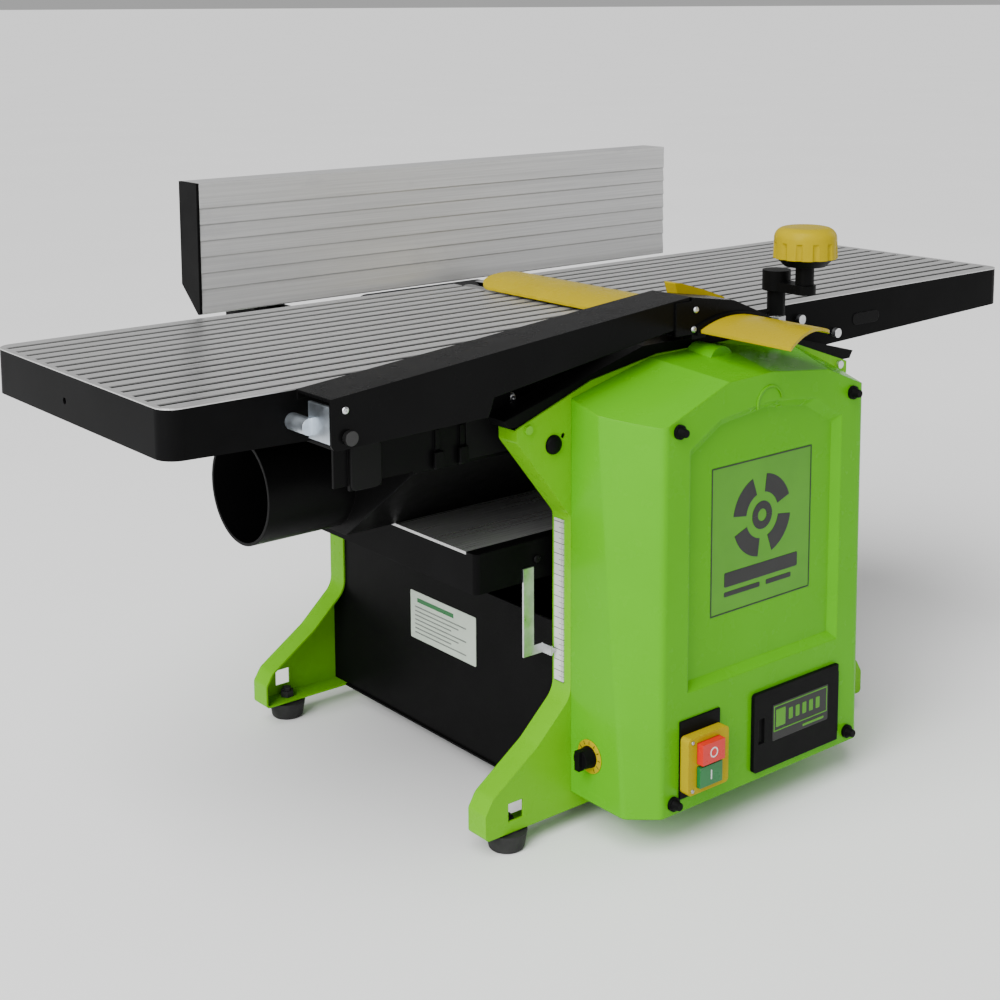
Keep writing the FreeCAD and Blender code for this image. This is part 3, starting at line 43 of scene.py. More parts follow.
# ---------------------------------------------------------------- materials
class Mat:
    """Small builder for a principled material from procedural nodes."""

    def __init__(self, name, color, rough, metallic=0.0, coat=0.0, coat_rough=0.1, specular=0.5):
        self.mat = bpy.data.materials.new(name)
        self.mat.use_nodes = True
        self.tree = self.mat.node_tree
        self.shader = self.tree.nodes["Principled BSDF"]
        self.set("Base Color", (*color, 1.0))
        self.set("Roughness", rough)
        self.set("Metallic", metallic)
        self.set("Coat Weight", coat)
        self.set("Coat Roughness", coat_rough)
        self.set("Specular IOR Level", specular)
        self.color = color
        self.rough = rough
        self.coords = self.add("ShaderNodeTexCoord").outputs["Object"]
        self.bump_chain = None

    def add(self, kind, **values):
        """A new node of one kind, with its plain properties set."""
        node = self.tree.nodes.new(kind)
        for key, value in values.items():
            setattr(node, key, value)
        return node

    def set(self, socket, value):
        """Give a shader socket a constant."""
        self.shader.inputs[socket].default_value = value

    def link(self, a, b):
        """Join an output to an input."""
        self.tree.links.new(a, b)

    def axes(self):
        """The x, y and z of a point on the piece, in metres."""
        split = self.add("ShaderNodeSeparateXYZ")
        self.link(self.coords, split.inputs[0])
        return split.outputs[0], split.outputs[1], split.outputs[2]

    def maths(self, operation, *values):
        """Result of a maths node on numbers or sockets."""
        node = self.add("ShaderNodeMath", operation=operation)
        for socket, value in zip(node.inputs, values):
            if isinstance(value, bpy.types.NodeSocket):
                self.link(value, socket)
            else:
                socket.default_value = value
        return node.outputs[0]

    def noise(self, scale, detail=4.0, rough=0.55, stretch=(1, 1, 1)):
        """Noise across the piece, 0..1; a small stretch draws it out along that axis."""
        mapping = self.add("ShaderNodeMapping")
        mapping.inputs["Scale"].default_value = stretch
        self.link(self.coords, mapping.inputs["Vector"])
        node = self.add("ShaderNodeTexNoise")
        node.inputs["Scale"].default_value = scale
        node.inputs["Detail"].default_value = detail
        node.inputs["Roughness"].default_value = rough
        self.link(mapping.outputs["Vector"], node.inputs["Vector"])
        return node.outputs["Fac"]

    def ramp(self, source, low, high, a=0.0, b=1.0):
        """Remap a 0..1 value: low..high becomes a..b, smoothly."""
        node = self.add("ShaderNodeMapRange", interpolation_type="SMOOTHSTEP")
        node.inputs["From Min"].default_value = low
        node.inputs["From Max"].default_value = high
        node.inputs["To Min"].default_value = a
        node.inputs["To Max"].default_value = b
        self.link(source, node.inputs["Value"])
        return node.outputs["Result"]

    def mix_color(self, fac, first, second):
        """Blend of two colours or sockets: the first where fac is 0, the second where it is 1."""
        node = self.add("ShaderNodeMix", data_type="RGBA")
        self.link(fac, node.inputs["Factor"])
        color_a, color_b = node.inputs[6], node.inputs[7]
        for socket, value in ((color_a, first), (color_b, second)):
            if isinstance(value, bpy.types.NodeSocket):
                self.link(value, socket)
            else:
                socket.default_value = (*value, 1.0)
        color_out = node.outputs[2]
        return color_out

    def tint(self, scale, amount, stretch=(1, 1, 1), detail=5.0):
        """Slight uneven colour across the surface."""
        fac = self.ramp(self.noise(scale, detail, stretch=stretch), 0.3, 0.7)
        dark = tuple(c * (1 - amount) for c in self.color)
        light = tuple(min(1.0, c * (1 + amount)) for c in self.color)
        out = self.mix_color(fac, dark, light)
        self.link(out, self.shader.inputs["Base Color"])
        return out

    def edge_wear(self, base, wear_color, width=0.0006, low=0.02, high=0.25, breakup=90.0):
        """Lighter, rubbed edges, broken up by noise."""
        bevel = self.add("ShaderNodeBevel", samples=4)
        bevel.inputs["Radius"].default_value = width
        geometry = self.add("ShaderNodeNewGeometry")
        dot = self.add("ShaderNodeVectorMath", operation="DOT_PRODUCT")
        self.link(bevel.outputs["Normal"], dot.inputs[0])
        self.link(geometry.outputs["Normal"], dot.inputs[1])
        curved = self.ramp(dot.outputs["Value"], 1.0 - low, 1.0 - high)
        broken = self.ramp(self.noise(breakup, 6.0, 0.65), 0.42, 0.62)
        worn = self.maths("MULTIPLY", curved, broken)
        self.link(self.mix_color(worn, base, wear_color), self.shader.inputs["Base Color"])

    def rough_noise(self, scale, spread, stretch=(1, 1, 1)):
        """Roughness that wanders either side of the material's own value."""
        fac = self.noise(scale, 5.0, stretch=stretch)
        self.link(self.ramp(fac, 0.25, 0.75, self.rough - spread, self.rough + spread),
                  self.shader.inputs["Roughness"])

    def bump(self, height, strength, distance):
        """Relief from a height value, on top of the relief already there."""
        node = self.add("ShaderNodeBump")
        node.inputs["Strength"].default_value = strength
        node.inputs["Distance"].default_value = distance
        self.link(height, node.inputs["Height"])
        if self.bump_chain is not None:
            self.link(self.bump_chain, node.inputs["Normal"])
        self.bump_chain = node.outputs["Normal"]
        self.link(self.bump_chain, self.shader.inputs["Normal"])

    def soften(self, radius):
        """Round the sharp edges of the shading."""
        bevel = self.add("ShaderNodeBevel", samples=6)
        bevel.inputs["Radius"].default_value = radius
        self.bump_chain = bevel.outputs["Normal"]
        self.link(self.bump_chain, self.shader.inputs["Normal"])


def green_shell():
    """Glossy lime plastic with the faint ripple and grain of a moulding."""
    m = Mat("lime_shell", (0.078, 0.36, 0.0), 0.25, specular=0.10)
    m.soften(0.0016)
    m.edge_wear(m.tint(7.0, 0.035), (0.17, 0.42, 0.0), 0.0011, 0.03, 0.4)
    m.rough_noise(38.0, 0.05)
    m.bump(m.noise(1500.0, 2.0), 0.06, 0.0004)
    m.bump(m.noise(16.0, 2.0), 0.05, 0.002)
    return m.mat


def green_sheet():
    """Powder-coated lime sheet steel with a fine orange peel."""
    m = Mat("lime_powder_coat", (0.13, 0.42, 0.0), 0.30, specular=0.10)
    m.soften(0.0010)
    m.edge_wear(m.tint(9.0, 0.04), (0.16, 0.41, 0.0), 0.0008, 0.03, 0.35)
    m.rough_noise(60.0, 0.06)
    m.bump(m.noise(620.0, 3.0, 0.6), 0.18, 0.0006)
    return m.mat


def black_coat(name, color, rough, peel, coat=0.0):
    """Black paint on metal: orange peel, slightly uneven gloss and rubbed edges."""
    m = Mat(name, color, rough, coat=coat, coat_rough=0.15, specular=0.035)
    m.soften(0.0009)
    m.edge_wear(m.tint(14.0, 0.12), tuple(c * 2.0 + 0.006 for c in color), 0.0006, 0.05, 0.45)
    m.rough_noise(45.0, 0.03)
    m.bump(m.noise(700.0, 3.0, 0.6), peel, 0.0006)
    return m.mat


def black_moulded(name, color=(0.004, 0.004, 0.0041), rough=0.42):
    """Black moulded plastic with a fine grain and faint sink marks."""
    m = Mat(name, color, rough, specular=0.045)
    m.soften(0.0009)
    m.edge_wear(m.tint(11.0, 0.12), tuple(c * 2.0 + 0.006 for c in color), 0.0006, 0.05, 0.45)
    m.rough_noise(52.0, 0.04)
    m.bump(m.noise(1900.0, 3.0, 0.7), 0.22, 0.0004)
    m.bump(m.noise(9.0, 2.0), 0.05, 0.002)
    return m.mat


def yellow_moulded():
    """Yellow plastic of the knob cap, lever and switch."""
    m = Mat("yellow_moulded", (0.38, 0.285, 0.0), 0.28, specular=0.06)
    m.soften(0.0010)
    m.edge_wear(m.tint(13.0, 0.05), (0.48, 0.37, 0.0), 0.0008, 0.03, 0.4)
    m.rough_noise(70.0, 0.06)
    m.bump(m.noise(1500.0, 3.0), 0.12, 0.0004)
    return m.mat


def yellow_painted():
    """Yellow paint of the guard blade, with a light orange peel."""
    m = Mat("yellow_guard_paint", (0.38, 0.285, 0.0), 0.26, specular=0.06)
    m.soften(0.0006)
    m.edge_wear(m.tint(16.0, 0.05), (0.48, 0.37, 0.0), 0.0006, 0.03, 0.35)
    m.rough_noise(50.0, 0.07)
    m.bump(m.noise(640.0, 3.0), 0.14, 0.0005)
    return m.mat


def planed_table(name, top, depth, across=None, lay_height=0.18):
    """Black painted casting, bare satin metal down to a depth and within a half width."""
    m = Mat(name, (0.50, 0.50, 0.50), 0.33, specular=0.25)
    m.soften(0.0004)
    y, z = m.axes()[1:]
    paint_line, blur = top - depth, 0.00008
    bare = m.ramp(z, paint_line - blur, paint_line + blur)
    if across:
        bare = m.maths("MULTIPLY", bare, m.maths("LESS_THAN", m.maths("ABSOLUTE", y), across))
    fine = m.noise(420.0, 6.0, 0.7, stretch=(0.012, 1, 1))
    metal_color = m.mix_color(m.ramp(fine, 0.3, 0.7), (0.46, 0.46, 0.46), (0.66, 0.66, 0.655))
    patch = m.ramp(m.noise(4.5, 5.0, stretch=(0.5, 1, 1)), 0.35, 0.7)
    metal_color = m.mix_color(patch, metal_color, (0.60, 0.60, 0.595))
    paint_tone = m.ramp(m.noise(16.0, 5.0), 0.3, 0.7)
    paint = m.mix_color(paint_tone, (0.003, 0.003, 0.0031), (0.0042, 0.0042, 0.0044))
    m.link(m.mix_color(bare, paint, metal_color), m.shader.inputs["Base Color"])
    m.link(m.maths("MULTIPLY", bare, 0.7), m.shader.inputs["Metallic"])
    m.link(m.maths("MULTIPLY_ADD", bare, 0.22, 0.03), m.shader.inputs["Specular IOR Level"])
    streaks = m.noise(300.0, 5.0, stretch=(0.012, 1, 1))
    lay = m.maths("MULTIPLY", bare, m.ramp(streaks, 0.25, 0.75, -0.09, 0.09))
    m.link(m.maths("ADD", lay, m.ramp(bare, 0.0, 1.0, 0.36, 0.33)), m.shader.inputs["Roughness"])
    m.bump(m.maths("MULTIPLY", fine, bare), lay_height, 0.0003)
    m.bump(m.noise(640.0, 3.0, 0.6), 0.06, 0.0005)
    return m.mat


def ruled_film(name, z_origin, y_edge):
    """Pale scale film: full lines each centimetre, shorter ones each half and each millimetre."""
    m = Mat(name, (0.62, 0.64, 0.60), 0.35)
    y, z = m.axes()[1:]
    marks = None
    for pitch, reach, width in ((0.010, 1.0, 0.07), (0.005, 0.0062, 0.10), (0.001, 0.0035, 0.25)):
        phase = m.maths("FRACT", m.maths("MULTIPLY", m.maths("SUBTRACT", z, z_origin), 1.0 / pitch))
        line = m.maths("LESS_THAN", phase, width)
        near = m.maths("LESS_THAN", m.maths("SUBTRACT", y, y_edge), reach)
        both = m.maths("MULTIPLY", line, near)
        marks = both if marks is None else m.maths("MAXIMUM", marks, both)
    film = m.mix_color(m.ramp(m.noise(30.0, 4.0), 0.3, 0.7), (0.56, 0.58, 0.54), (0.66, 0.68, 0.64))
    m.link(m.mix_color(marks, film, (0.02, 0.02, 0.02)), m.shader.inputs["Base Color"])
    m.rough_noise(60.0, 0.05)
    m.bump(m.noise(900.0, 3.0), 0.08, 0.0003)
    return m.mat


def fence_aluminium():
    """Satin anodised extrusion with long die lines and a few pale smears."""
    m = Mat("anodised_fence", (0.60, 0.60, 0.595), 0.38, metallic=0.55)
    m.soften(0.0004)
    fine = m.noise(520.0, 5.0, 0.65, stretch=(0.01, 1, 1))
    base = m.mix_color(m.ramp(fine, 0.3, 0.7), (0.52, 0.52, 0.52), (0.63, 0.63, 0.625))
    smear = m.ramp(m.noise(6.0, 6.0, 0.7, stretch=(1, 1, 2)), 0.56, 0.74)
    base = m.mix_color(smear, base, (0.50, 0.50, 0.51))
    m.edge_wear(base, (0.80, 0.80, 0.79), 0.0005, 0.03, 0.3)
    m.rough_noise(300.0, 0.06, stretch=(0.01, 1, 1))
    m.bump(fine, 0.12, 0.0002)
    return m.mat


def metal(name, color, rough, stretch, scale=300.0, spread=0.08, bump=0.15, paint=None):
    """Turned, drawn or plated metal; paint gives the y, x and colour of a painted near corner."""
    m = Mat(name, color, rough, metallic=1.0)
    m.soften(0.0004)
    fine = m.noise(scale, 5.0, 0.65, stretch=stretch)
    dark, light = tuple(c * 0.82 for c in color), tuple(min(1, c * 1.12) for c in color)
    base = m.mix_color(m.ramp(fine, 0.3, 0.7), dark, light)
    spot = m.ramp(m.noise(30.0, 6.0, 0.7), 0.60, 0.75)
    base = m.mix_color(spot, base, tuple(c * 0.62 for c in color))
    if paint:
        y_limit, x_limit, paint_color = paint
        x, y = m.axes()[:2]
        in_front, to_left = m.maths("LESS_THAN", y, y_limit), m.maths("LESS_THAN", x, x_limit)
        covered = m.maths("MULTIPLY", to_left, in_front)
        base = m.mix_color(covered, base, paint_color)
        m.link(m.maths("SUBTRACT", 1.0, covered), m.shader.inputs["Metallic"])
    m.link(base, m.shader.inputs["Base Color"])
    m.rough_noise(scale * 0.7, spread, stretch=stretch)
    m.bump(fine, bump, 0.0002)
    return m.mat


def rubber():
    """Dull black rubber of the feet."""
    m = Mat("foot_rubber", (0.018, 0.018, 0.018), 0.72, specular=0.3)
    m.soften(0.0012)
    m.tint(45.0, 0.25)
    m.rough_noise(120.0, 0.08)
    m.bump(m.noise(900.0, 4.0), 0.3, 0.0004)
    return m.mat


def plain(name, color, rough=0.4, coat=0.0, bump=0.1):
    """Small plastic, film or print: slight unevenness and a fine grain."""
    m = Mat(name, color, rough, coat=coat, specular=0.3)
    m.soften(0.0006)
    worn = tuple(min(1.0, c * 1.3 + 0.03) for c in color)
    m.edge_wear(m.tint(22.0, 0.06), worn, 0.0006, 0.03, 0.4)
    m.rough_noise(60.0, 0.05)
    m.bump(m.noise(1300.0, 3.0), bump, 0.0003)
    return m.mat


SHELL = green_shell()
SHEET = green_sheet()
YELLOW = yellow_moulded()
YELLOW_PAINT = yellow_painted()
OUTFEED_TOP = planed_table("outfeed_table_finish", TOP, 0.0011)
INFEED_TOP = planed_table("infeed_table_finish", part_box("infeed_table")[1][2], 0.0011)
BED_TOP = planed_table("bed_finish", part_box("thickness_table")[1][2], 0.0026,
                       across=0.150, lay_height=0.03)
FENCE_METAL = fence_aluminium()
GLOSS_BLACK = black_coat("black_gloss_coat", (0.0035, 0.0035, 0.0036), 0.26, 0.06, 0.04)
SATIN_BLACK = black_coat("black_satin_coat", (0.004, 0.004, 0.0041), 0.38, 0.2)
CAST_BLACK = black_coat("black_cast_paint", (0.004, 0.004, 0.0041), 0.36, 0.4)
PLASTIC = black_moulded("black_moulded")
HOOD_PLASTIC = black_moulded("black_hood_plastic", (0.004, 0.004, 0.0041), 0.34)
STEEL = metal("turned_steel", (0.50, 0.50, 0.50), 0.28, (1, 0.02, 1))
SCREW_STEEL = metal("screw_steel", (0.42, 0.42, 0.42), 0.34, (1, 1, 1), 200.0)
ZINC = metal("zinc_plate", (0.62, 0.63, 0.64), 0.34, (1, 1, 1), 60.0, 0.12, 0.2)
BRONZE = metal("sintered_bronze", (0.45, 0.32, 0.15), 0.5, (1, 1, 1), 500.0)
RUBBER = rubber()
# the clamp's pivot head, in front of the guard arm, is black
CLAMP = metal("galvanised_clamp", (0.62, 0.68, 0.74), 0.40, (1, 1, 1), 40.0, 0.14, 0.25,
              paint=(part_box("guard_arm")[0][1] + 0.0002, 1.0, (0.006, 0.006, 0.006)))
# the screw in the near plate's outfeed ear is painted over with the plate
TABLE_BOLTS = metal("zinc_bolts", (0.62, 0.63, 0.64), 0.34, (1, 1, 1), 60.0, 0.12, 0.2,
                    paint=(-0.18, -0.15, (0.13, 0.42, 0.0)))
BELT = plain("belt_rubber", (0.02, 0.02, 0.02), 0.65, bump=0.3)
RED = plain("stop_red", (0.55, 0.012, 0.010), 0.3, 0.1)
GREEN_BUTTON = plain("start_green", (0.006, 0.14, 0.03), 0.3, 0.1)
SCALE = ruled_film("scale_film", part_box("scale_strip")[0][2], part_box("scale_strip")[0][1])
PAPER = plain("label_paper", (0.52, 0.60, 0.50), 0.32, 0.2)
INK = plain("printed_ink", (0.012, 0.012, 0.012), 0.4)
FILM = plain("panel_film", (0.060, 0.26, 0.0), 0.36)
INK_PLATE = plain("badge_black", (0.008, 0.008, 0.008), 0.35)
GRIP_BLACK = black_moulded("grip_black", (0.010, 0.010, 0.0102), 0.5)
GREY_INK = plain("grey_print", (0.20, 0.22, 0.20), 0.5)
PRINT_WHITE = plain("white_print", (0.7, 0.7, 0.7), 0.5)

NODE_FINISH = (
    (SHEET, "near_side_plate far_side_plate"),
    (SATIN_BLACK, "base_panels base_tray motor"),
    (RUBBER, "rubber_feet"),
    (CAST_BLACK, "near_arch_bracket far_arch_bracket crank_arm fence_carrier fence_base"),
    (OUTFEED_TOP, "outfeed_table"),
    (INFEED_TOP, "infeed_table"),
    (TABLE_BOLTS, "table_bolts"),
    (ZINC, "infeed_table_bolts thickness_pointer"),
    (STEEL, "cutter_block knives cutter_bearings infeed_roller outfeed_roller"),
    (SCREW_STEEL, "knife_wedges cutter_pulley motor_pulley feed_drive_sprocket feed_chain "
                  "kickback_fingers crank_screw lift_screw_near_outfeed "
                  "lift_screw_far_outfeed lift_screw_far_infeed lift_chain"),
    (BELT, "drive_belt"),
    (PLASTIC, "feed_gearbox feed_selector_knob cover_screws rear_cover access_door "
              "switch_plate crank_knob_skirt fence_end_cap fence_tilt_lever fence_lock_lever "
              "depth_knob cable_gland"),
    (SHELL, "drive_cover"),
    (YELLOW, "switch_housing crank_knob_cap blade_lock_lever"),
    (RED, "stop_button"),
    (GREEN_BUTTON, "start_button"),
    (BED_TOP, "thickness_table"),
    (BRONZE, "screw_bushes"),
    (HOOD_PLASTIC, "dust_hood"),
    (GLOSS_BLACK, "guard_arm guard_carriage"),
    (CLAMP, "guard_clamp"),
    (YELLOW_PAINT, "guard_blade"),
    (FENCE_METAL, "fence"),
    (SCALE, "scale_strip"),
)
for finish, names in NODE_FINISH:
    for name in names.split():
        data = NODES[name].data
        if data.materials:
            for index in range(len(data.materials)):
                NODES[name].material_slots[index].material = finish
        else:
            data.materials.append(finish)


# ---------------------------------------------------------------- small pieces built here
FRONT = (0, -1, 0)
LEFT = (-1, 0, 0)
COVER_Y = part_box("drive_cover")[0][1]
FILM_THICK = 0.0003          # labels and printed films
PRINT_THICK = 0.00025        # ink standing on them
RIM = 0.0001                 # their edge chamfer
TURN_STEPS = 40              # facets round a turned piece
SMALL_SCREW = 0.0032         # head radius of the guard's screws


def piece(name, mesh, material, body):
    """Object of a new mesh that rides on a body and states its slot."""
    obj = bpy.data.objects.new(name, mesh)
    bpy.context.collection.objects.link(obj)
    mesh.materials.append(material)
    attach(obj, body)
    return obj


def frame_axes(normal):
    """Directions across and up a face whose outward normal is given, and the normal."""
    n = Vector(normal).normalized()
    up = Vector((0, 0, 1)) if abs(n.z) < 0.9 else Vector((0, 1, 0))
    across = up.cross(n).normalized()
    return across, n.cross(across).normalized(), n


def finished_mesh(name, form):
    """Mesh made from a form, which is then let go."""
    mesh = bpy.data.meshes.new(name)
    form.to_mesh(mesh)
    form.free()
    return mesh


def slab(name, loops, place, normal, height, material, body, chamfer=0.0002):
    """Thin raised shape from flat loops of (across, up) points on a face, with a chamfered rim."""
    across, up, n = frame_axes(normal)
    form = bmesh.new()
    for points in loops:
        middle = sum((Vector(p) for p in points), Vector((0, 0))) / len(points)
        rows = []
        for level, shrink in ((0.0, 0.0), (height - chamfer, 0.0), (height, chamfer)):
            row = []
            for p in points:
                q = Vector(p)
                span = (q - middle).length
                q = middle + (q - middle) * ((span - shrink) / span)
                row.append(form.verts.new(Vector(place) + across * q.x + up * q.y + n * level))
            rows.append(row)
        count = len(points)
        for low, high in zip(rows[:-1], rows[1:]):
            for k in range(count):
                form.faces.new((low[k], low[(k + 1) % count], high[(k + 1) % count], high[k]))
        form.faces.new(rows[-1])
        form.faces.new(list(reversed(rows[0])))
    bmesh.ops.recalc_face_normals(form, faces=form.faces[:])
    return piece(name, finished_mesh(name, form), material, body)


def turned(name, profile, place, normal, material, body):
    """Revolved piece from (radius, height) points, standing on a face."""
    across, up, n = frame_axes(normal)
    form = bmesh.new()
    rings = []
    for radius, height in profile:
        ring = []
        for k in range(TURN_STEPS):
            angle = 2 * math.pi * k / TURN_STEPS
            offset = (across * math.cos(angle) + up * math.sin(angle)) * max(radius, 1e-5)
            ring.append(form.verts.new(Vector(place) + offset + n * height))
        rings.append(ring)
    for low, high in zip(rings[:-1], rings[1:]):
        for k in range(TURN_STEPS):
            after = (k + 1) % TURN_STEPS
            form.faces.new((low[k], low[after], high[after], high[k]))
    form.faces.new(list(reversed(rings[0])))
    form.faces.new(rings[-1])
    bmesh.ops.recalc_face_normals(form, faces=form.faces[:])
    for face in form.faces:
        face.smooth = len(face.verts) == 4
    return piece(name, finished_mesh(name, form), material, body)


def oblong(width, height, radius=0.002, x=0.0, y=0.0, steps=6):
    """Rectangle with round corners, as a loop of points about (x, y)."""
    points = []
    for k, (sx, sy) in enumerate(((1, 1), (-1, 1), (-1, -1), (1, -1))):
        cx, cy = x + sx * (width / 2 - radius), y + sy * (height / 2 - radius)
        for i in range(steps + 1):
            angle = math.pi / 2 * (k + i / steps)
            points.append((cx + radius * math.cos(angle), cy + radius * math.sin(angle)))
    return points


def ring_part(radius, width, start, stop, x=0.0, y=0.0, steps=14):
    """Part of a flat ring between two angles in degrees, as a loop of points."""
    points = []
    for r, a, b in ((radius + width / 2, start, stop), (radius - width / 2, stop, start)):
        for i in range(steps + 1):
            angle = math.radians(a + (b - a) * i / steps)
            points.append((x + r * math.cos(angle), y + r * math.sin(angle)))
    return points


def ring_loops(radius, width, x=0.0, y=0.0, parts=6):
    """Whole flat ring, in parts that meet."""
    step = 360 / parts
    return [ring_part(radius, width, step * k, step * (k + 1), x, y, 6) for k in range(parts)]


def border_loops(width, height, line):
    """Four bars that make a rectangular frame line."""
    half_across, half_up = (width - line) / 2, (height - line) / 2
    return [oblong(width, line, line / 3, 0, half_up),
            oblong(width, line, line / 3, 0, -half_up),
            oblong(line, height - 2 * line, line / 3, -half_across, 0),
            oblong(line, height - 2 * line, line / 3, half_across, 0)]


def front_emblem():
    """Printed panel in the cover's recess: a frame line and a plain cutter-and-board pictogram."""
    centre_z, cutter_up = TOP - 0.173, 0.0140
    place = (0.0, COVER_Y + 0.0071, centre_z)
    slab("front_panel_film", [oblong(0.134, 0.138, 0.002)], place, FRONT,
         FILM_THICK, FILM, "frame", RIM)
    loops = border_loops(0.133, 0.137, 0.0012)
    for k in range(4):
        start = 20 + 90 * k
        loops.append(ring_part(0.0300, 0.0170, start, start + 62, 0.0, cutter_up, 12))
    loops += ring_loops(0.0095, 0.0075, 0.0, cutter_up)
    loops += [oblong(0.098, 0.0135, 0.0015, 0.0, -0.0375),
              oblong(0.047, 0.0045, 0.001, -0.0255, -0.0510),
              oblong(0.034, 0.0045, 0.001, 0.0235, -0.0510)]
    slab("front_panel_print", loops, (0.0, COVER_Y + 0.0068, centre_z), FRONT,
         PRINT_THICK, INK, "frame", RIM)


def door_label():
    """Small printed badge on the service door: a frame line, a block and plain bars."""
    face_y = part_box("access_door")[0][1]
    x, z, raised = 0.046, TOP - 0.3575, 0.0035
    slab("door_label_film", [oblong(0.078, 0.035, 0.0015)], (x, face_y + 0.0001, z), FRONT,
         FILM_THICK, INK_PLATE, "door", RIM)
    loops = [[(u, v + raised) for u, v in loop] for loop in border_loops(0.075, 0.025, 0.0011)]
    loops += [oblong(0.013, 0.017, 0.001, -0.028, raised)]
    loops += [oblong(0.0055, 0.011, 0.001, -0.014 + 0.0095 * k, raised) for k in range(5)]
    loops += [oblong(0.030, 0.0022, 0.0008, 0.018, -0.0135)]
    slab("door_label_print", loops, (x, face_y - 0.0001, z), FRONT,
         PRINT_THICK, FILM, "door", RIM)


def rating_sticker():
    """Paper label on the outfeed side panel, printed with a green band and plain bars."""
    x, y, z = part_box("base_panels")[0][0], -0.002, TOP - 0.310
    slab("side_sticker", [oblong(0.107, 0.050, 0.0015)], (x, y, z), LEFT,
         FILM_THICK, PAPER, "frame", RIM)
    on_film = (x - FILM_THICK, y, z)
    slab("side_sticker_band", [oblong(0.060, 0.0045, 0.0005, -0.012, 0.0165)], on_film, LEFT,
         0.0002, GREEN_BUTTON, "frame", 0.00008)
    rows = []
    for k in range(7):
        short = k % 3
        width, across, up = 0.084 - 0.012 * short, -0.004 - 0.006 * short, 0.009 - 0.0045 * k
        rows.append(oblong(width, 0.0014, 0.0004, across, up))
    slab("side_sticker_lines", rows, on_film, LEFT,
         0.00015, GREY_INK, "frame", 0.00006)


def selector_dial():
    """Yellow dial behind the feed selector, with tick marks."""
    x, y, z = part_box("drive_cover")[0][0], -0.222, TOP - 0.366
    turned("selector_dial", [(0.0155, 0.0), (0.0155, 0.0007), (0.0150, 0.0010), (0.0, 0.0010)],
           (x, y, z), LEFT, YELLOW, "frame")
    tick_radius, tick_half_length, tick_half_width = 0.0129, 0.0017, 0.0004
    marks = []
    for k in range(9):
        angle = math.radians(-60 + 30 * k)
        cos, sin = math.cos(angle), math.sin(angle)
        cx, cy = tick_radius * cos, tick_radius * sin
        dx, dy = cos * tick_half_length, sin * tick_half_length
        sx, sy = -sin * tick_half_width, cos * tick_half_width
        marks.append([(cx - dx - sx, cy - dy - sy), (cx + dx - sx, cy + dy - sy),
                      (cx + dx + sx, cy + dy + sy), (cx - dx + sx, cy - dy + sy)])
    slab("selector_dial_marks", marks, (x - 0.0009, y, z), LEFT,
         0.0002, INK, "frame", 0.00005)


def plate_plug():
    """Domed black plug in the near plate's outfeed ear."""
    profile = [(0.0088, 0.0), (0.0088, 0.0012), (0.0080, 0.0030),
               (0.0055, 0.0046), (0.0022, 0.0052), (0.0, 0.0053)]
    place = (-0.178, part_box("near_side_plate")[0][1] + 0.0001, TOP - 0.080)
    turned("plate_plug", profile, place, FRONT, PLASTIC, "frame")


def pan_head(name, place, radius, material, body):
    """Domed screw head facing the operator, with a dimple for its drive."""
    profile = [(1.0, 0.0), (1.0, 0.25), (0.86, 0.52), (0.5, 0.70),
               (0.16, 0.72), (0.10, 0.45), (0.0, 0.42)]
    turned(name, [(radius * r, radius * h) for r, h in profile], place, FRONT, material, body)


def rivets():
    """Rivet on the guard arm's near end and the two screws of its carriage."""
    arm_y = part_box("guard_arm")[0][1]
    pan_head("arm_rivet", (-0.408, arm_y, TOP - 0.0093), SMALL_SCREW, ZINC, "guard_arm_body")
    carriage_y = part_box("guard_carriage")[0][1] + 0.003
    for k, (x, z) in enumerate(((-0.0235, TOP + 0.0245), (-0.026, TOP + 0.0065))):
        pan_head("carriage_screw_%d" % k, (x, carriage_y, z), SMALL_SCREW, ZINC, "guard_arm_body")


def table_wall_screw():
    """Screw head on the outfeed table's near wall, beside the cross member."""
    pan_head("table_wall_screw", (-0.1965, -0.160, TOP - 0.0415), 0.0052, ZINC, "frame")


def button_symbols():
    """Ring on the stop button and bar on the start button."""
    symbols = (("stop", ring_loops(0.0042, 0.0012)), ("start", [oblong(0.0014, 0.0090, 0.0005)]))
    for body, loops in symbols:
        low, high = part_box(body + "_button")
        slab(body + "_symbol", loops, (-0.086, low[1], (low[2] + high[2]) / 2), FRONT,
             0.0002, PRINT_WHITE, body, 0.00005)


def cover_emboss():
    """Raised arc and a short dash moulded above the cover's front panel."""
    loops = [ring_part(0.0165, 0.0022, 12, 192, steps=20),
             oblong(0.007, 0.0016, 0.0006, 0.0115, -0.004)]
    slab("cover_emboss", loops, (0.0, COVER_Y, TOP - 0.054), FRONT,
         0.0010, SHELL, "frame", 0.0005)


def skirt_mark():
    """Oval moulded pad on the infeed table's near skirt."""
    place = (0.293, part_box("infeed_table")[0][1], TOP - 0.029)
    slab("skirt_mark", [oblong(0.044, 0.013, 0.0062)], place, FRONT,
         0.0007, GLOSS_BLACK, "infeed_bed", 0.0004)


def hood_details():
    """Moulded pad, lugs and panel on the dust hood's near wing."""
    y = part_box("dust_hood")[0][1]
    slab("hood_grip", [oblong(0.031, 0.040, 0.006)], (-0.347, y, TOP - 0.0775), FRONT,
         0.0012, GRIP_BLACK, "hood", 0.0008)
    slab("hood_panel", [oblong(0.052, 0.052, 0.003)], (-0.214, y + 0.003, TOP - 0.066), FRONT,
         0.0016, GRIP_BLACK, "hood", 0.0006)
    for k, x in enumerate((-0.2715, -0.2445)):
        slab("hood_lug_%d" % k, [oblong(0.010, 0.016, 0.002)], (x, y + 0.0004, TOP - 0.086), FRONT,
             0.0030, HOOD_PLASTIC, "hood", 0.0010)


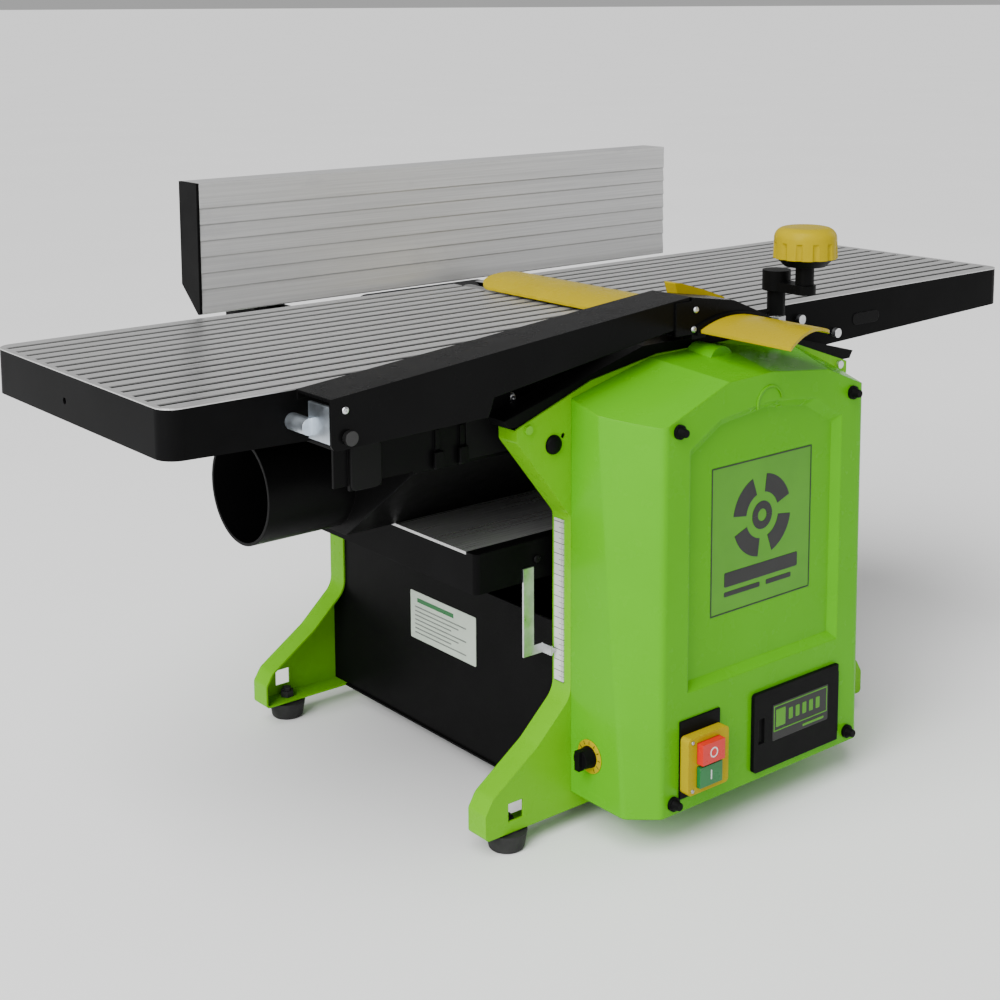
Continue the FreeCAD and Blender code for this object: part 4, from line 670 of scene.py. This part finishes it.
def bed_screw():
    """Black screw in the near side of the thicknessing bed."""
    place = (-0.170, -0.1642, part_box("thickness_table")[1][2] - 0.018)
    pan_head("bed_screw", place, 0.0042, GLOSS_BLACK, "thicknessing_bed")


def switch_screws():
    """Two screws that hold the switch, beside its buttons."""
    low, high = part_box("switch_housing")
    z = (low[2] + high[2]) / 2
    for k, dz in enumerate((-0.0225, 0.0225)):
        place = (low[0] + 0.0052, low[1], z + dz)
        pan_head("switch_screw_%d" % k, place, 0.0018, SCREW_STEEL, "frame")


front_emblem()
door_label()
rating_sticker()
selector_dial()
plate_plug()
rivets()
table_wall_screw()
button_symbols()
cover_emboss()
skirt_mark()
hood_details()
bed_screw()
switch_screws()


# ---------------------------------------------------------------- floor, lights and camera
FLOOR_HALF_WIDTH = 900.0
SUN_DIRECTION = (0.62, 0.20, -1.0)
AIM = (0, 0, 0.3)            # where the area lights point
CAMERA_PLACE = (-1.1128, -1.2751, TOP + 0.3005)
CAMERA_YAW, CAMERA_PITCH, CAMERA_ROLL = 39.07, 8.29, 0.29
CAMERA_LENS = 60.24
CAMERA_SHIFT = -0.25


def floor():
    """Plain pale floor, wide enough to pass for a studio sweep."""
    form = bmesh.new()
    bmesh.ops.create_grid(form, x_segments=1, y_segments=1, size=FLOOR_HALF_WIDTH)
    mesh = finished_mesh("floor", form)
    obj = bpy.data.objects.new("floor", mesh)
    bpy.context.collection.objects.link(obj)
    m = Mat("pale_floor", (0.90, 0.90, 0.90), 0.65, specular=0.2)
    m.tint(1.5, 0.01)
    mesh.materials.append(m.mat)


def add_light(name, kind, power, direction):
    """Light of one kind, turned to shine along a direction."""
    light = bpy.data.lights.new(name, kind)
    light.energy = power
    obj = bpy.data.objects.new(name, light)
    bpy.context.collection.objects.link(obj)
    obj.rotation_euler = Vector(direction).to_track_quat("-Z", "Y").to_euler()
    return light, obj


def area_light(name, place, size, power):
    """Square soft box that faces the machine."""
    light, obj = add_light(name, "AREA", power, Vector(AIM) - Vector(place))
    light.size = size
    obj.location = place


def lights():
    """Even white surroundings, a very soft sun from the left, and three soft boxes."""
    world = bpy.data.worlds.new("studio")
    bpy.context.scene.world = world
    world.use_nodes = True
    background = world.node_tree.nodes["Background"]
    background.inputs["Color"].default_value = (1.0, 1.0, 1.0, 1.0)
    background.inputs["Strength"].default_value = 0.42
    sun = add_light("soft_sun", "SUN", 3.5, SUN_DIRECTION)[0]
    sun.angle = math.radians(50)
    area_light("key", (-2.8, -0.9, 1.6), 1.6, 70)
    area_light("front_fill", (-0.4, -3.0, 1.5), 1.8, 7)
    area_light("right_fill", (2.8, -0.6, 1.4), 1.6, 10)


def camera():
    """Three-quarter view from the operator's side, above the outfeed end."""
    yaw, pitch, roll = map(math.radians, (CAMERA_YAW, CAMERA_PITCH, CAMERA_ROLL))
    data = bpy.data.cameras.new("camera")
    data.sensor_width = 36.0
    data.lens = CAMERA_LENS
    data.shift_y = CAMERA_SHIFT
    obj = bpy.data.objects.new("camera", data)
    bpy.context.collection.objects.link(obj)
    level = math.cos(pitch)
    forward = Vector((math.sin(yaw) * level, math.cos(yaw) * level, -math.sin(pitch)))
    right = Vector((math.cos(yaw), -math.sin(yaw), 0))
    up = right.cross(forward)
    turn = Matrix.Rotation(roll, 3, forward)
    right, up = turn @ right, turn @ up
    basis = Matrix((right, up, -forward)).transposed()
    obj.matrix_world = Matrix.Translation(Vector(CAMERA_PLACE)) @ basis.to_4x4()
    bpy.context.scene.camera = obj


floor()
lights()
camera()
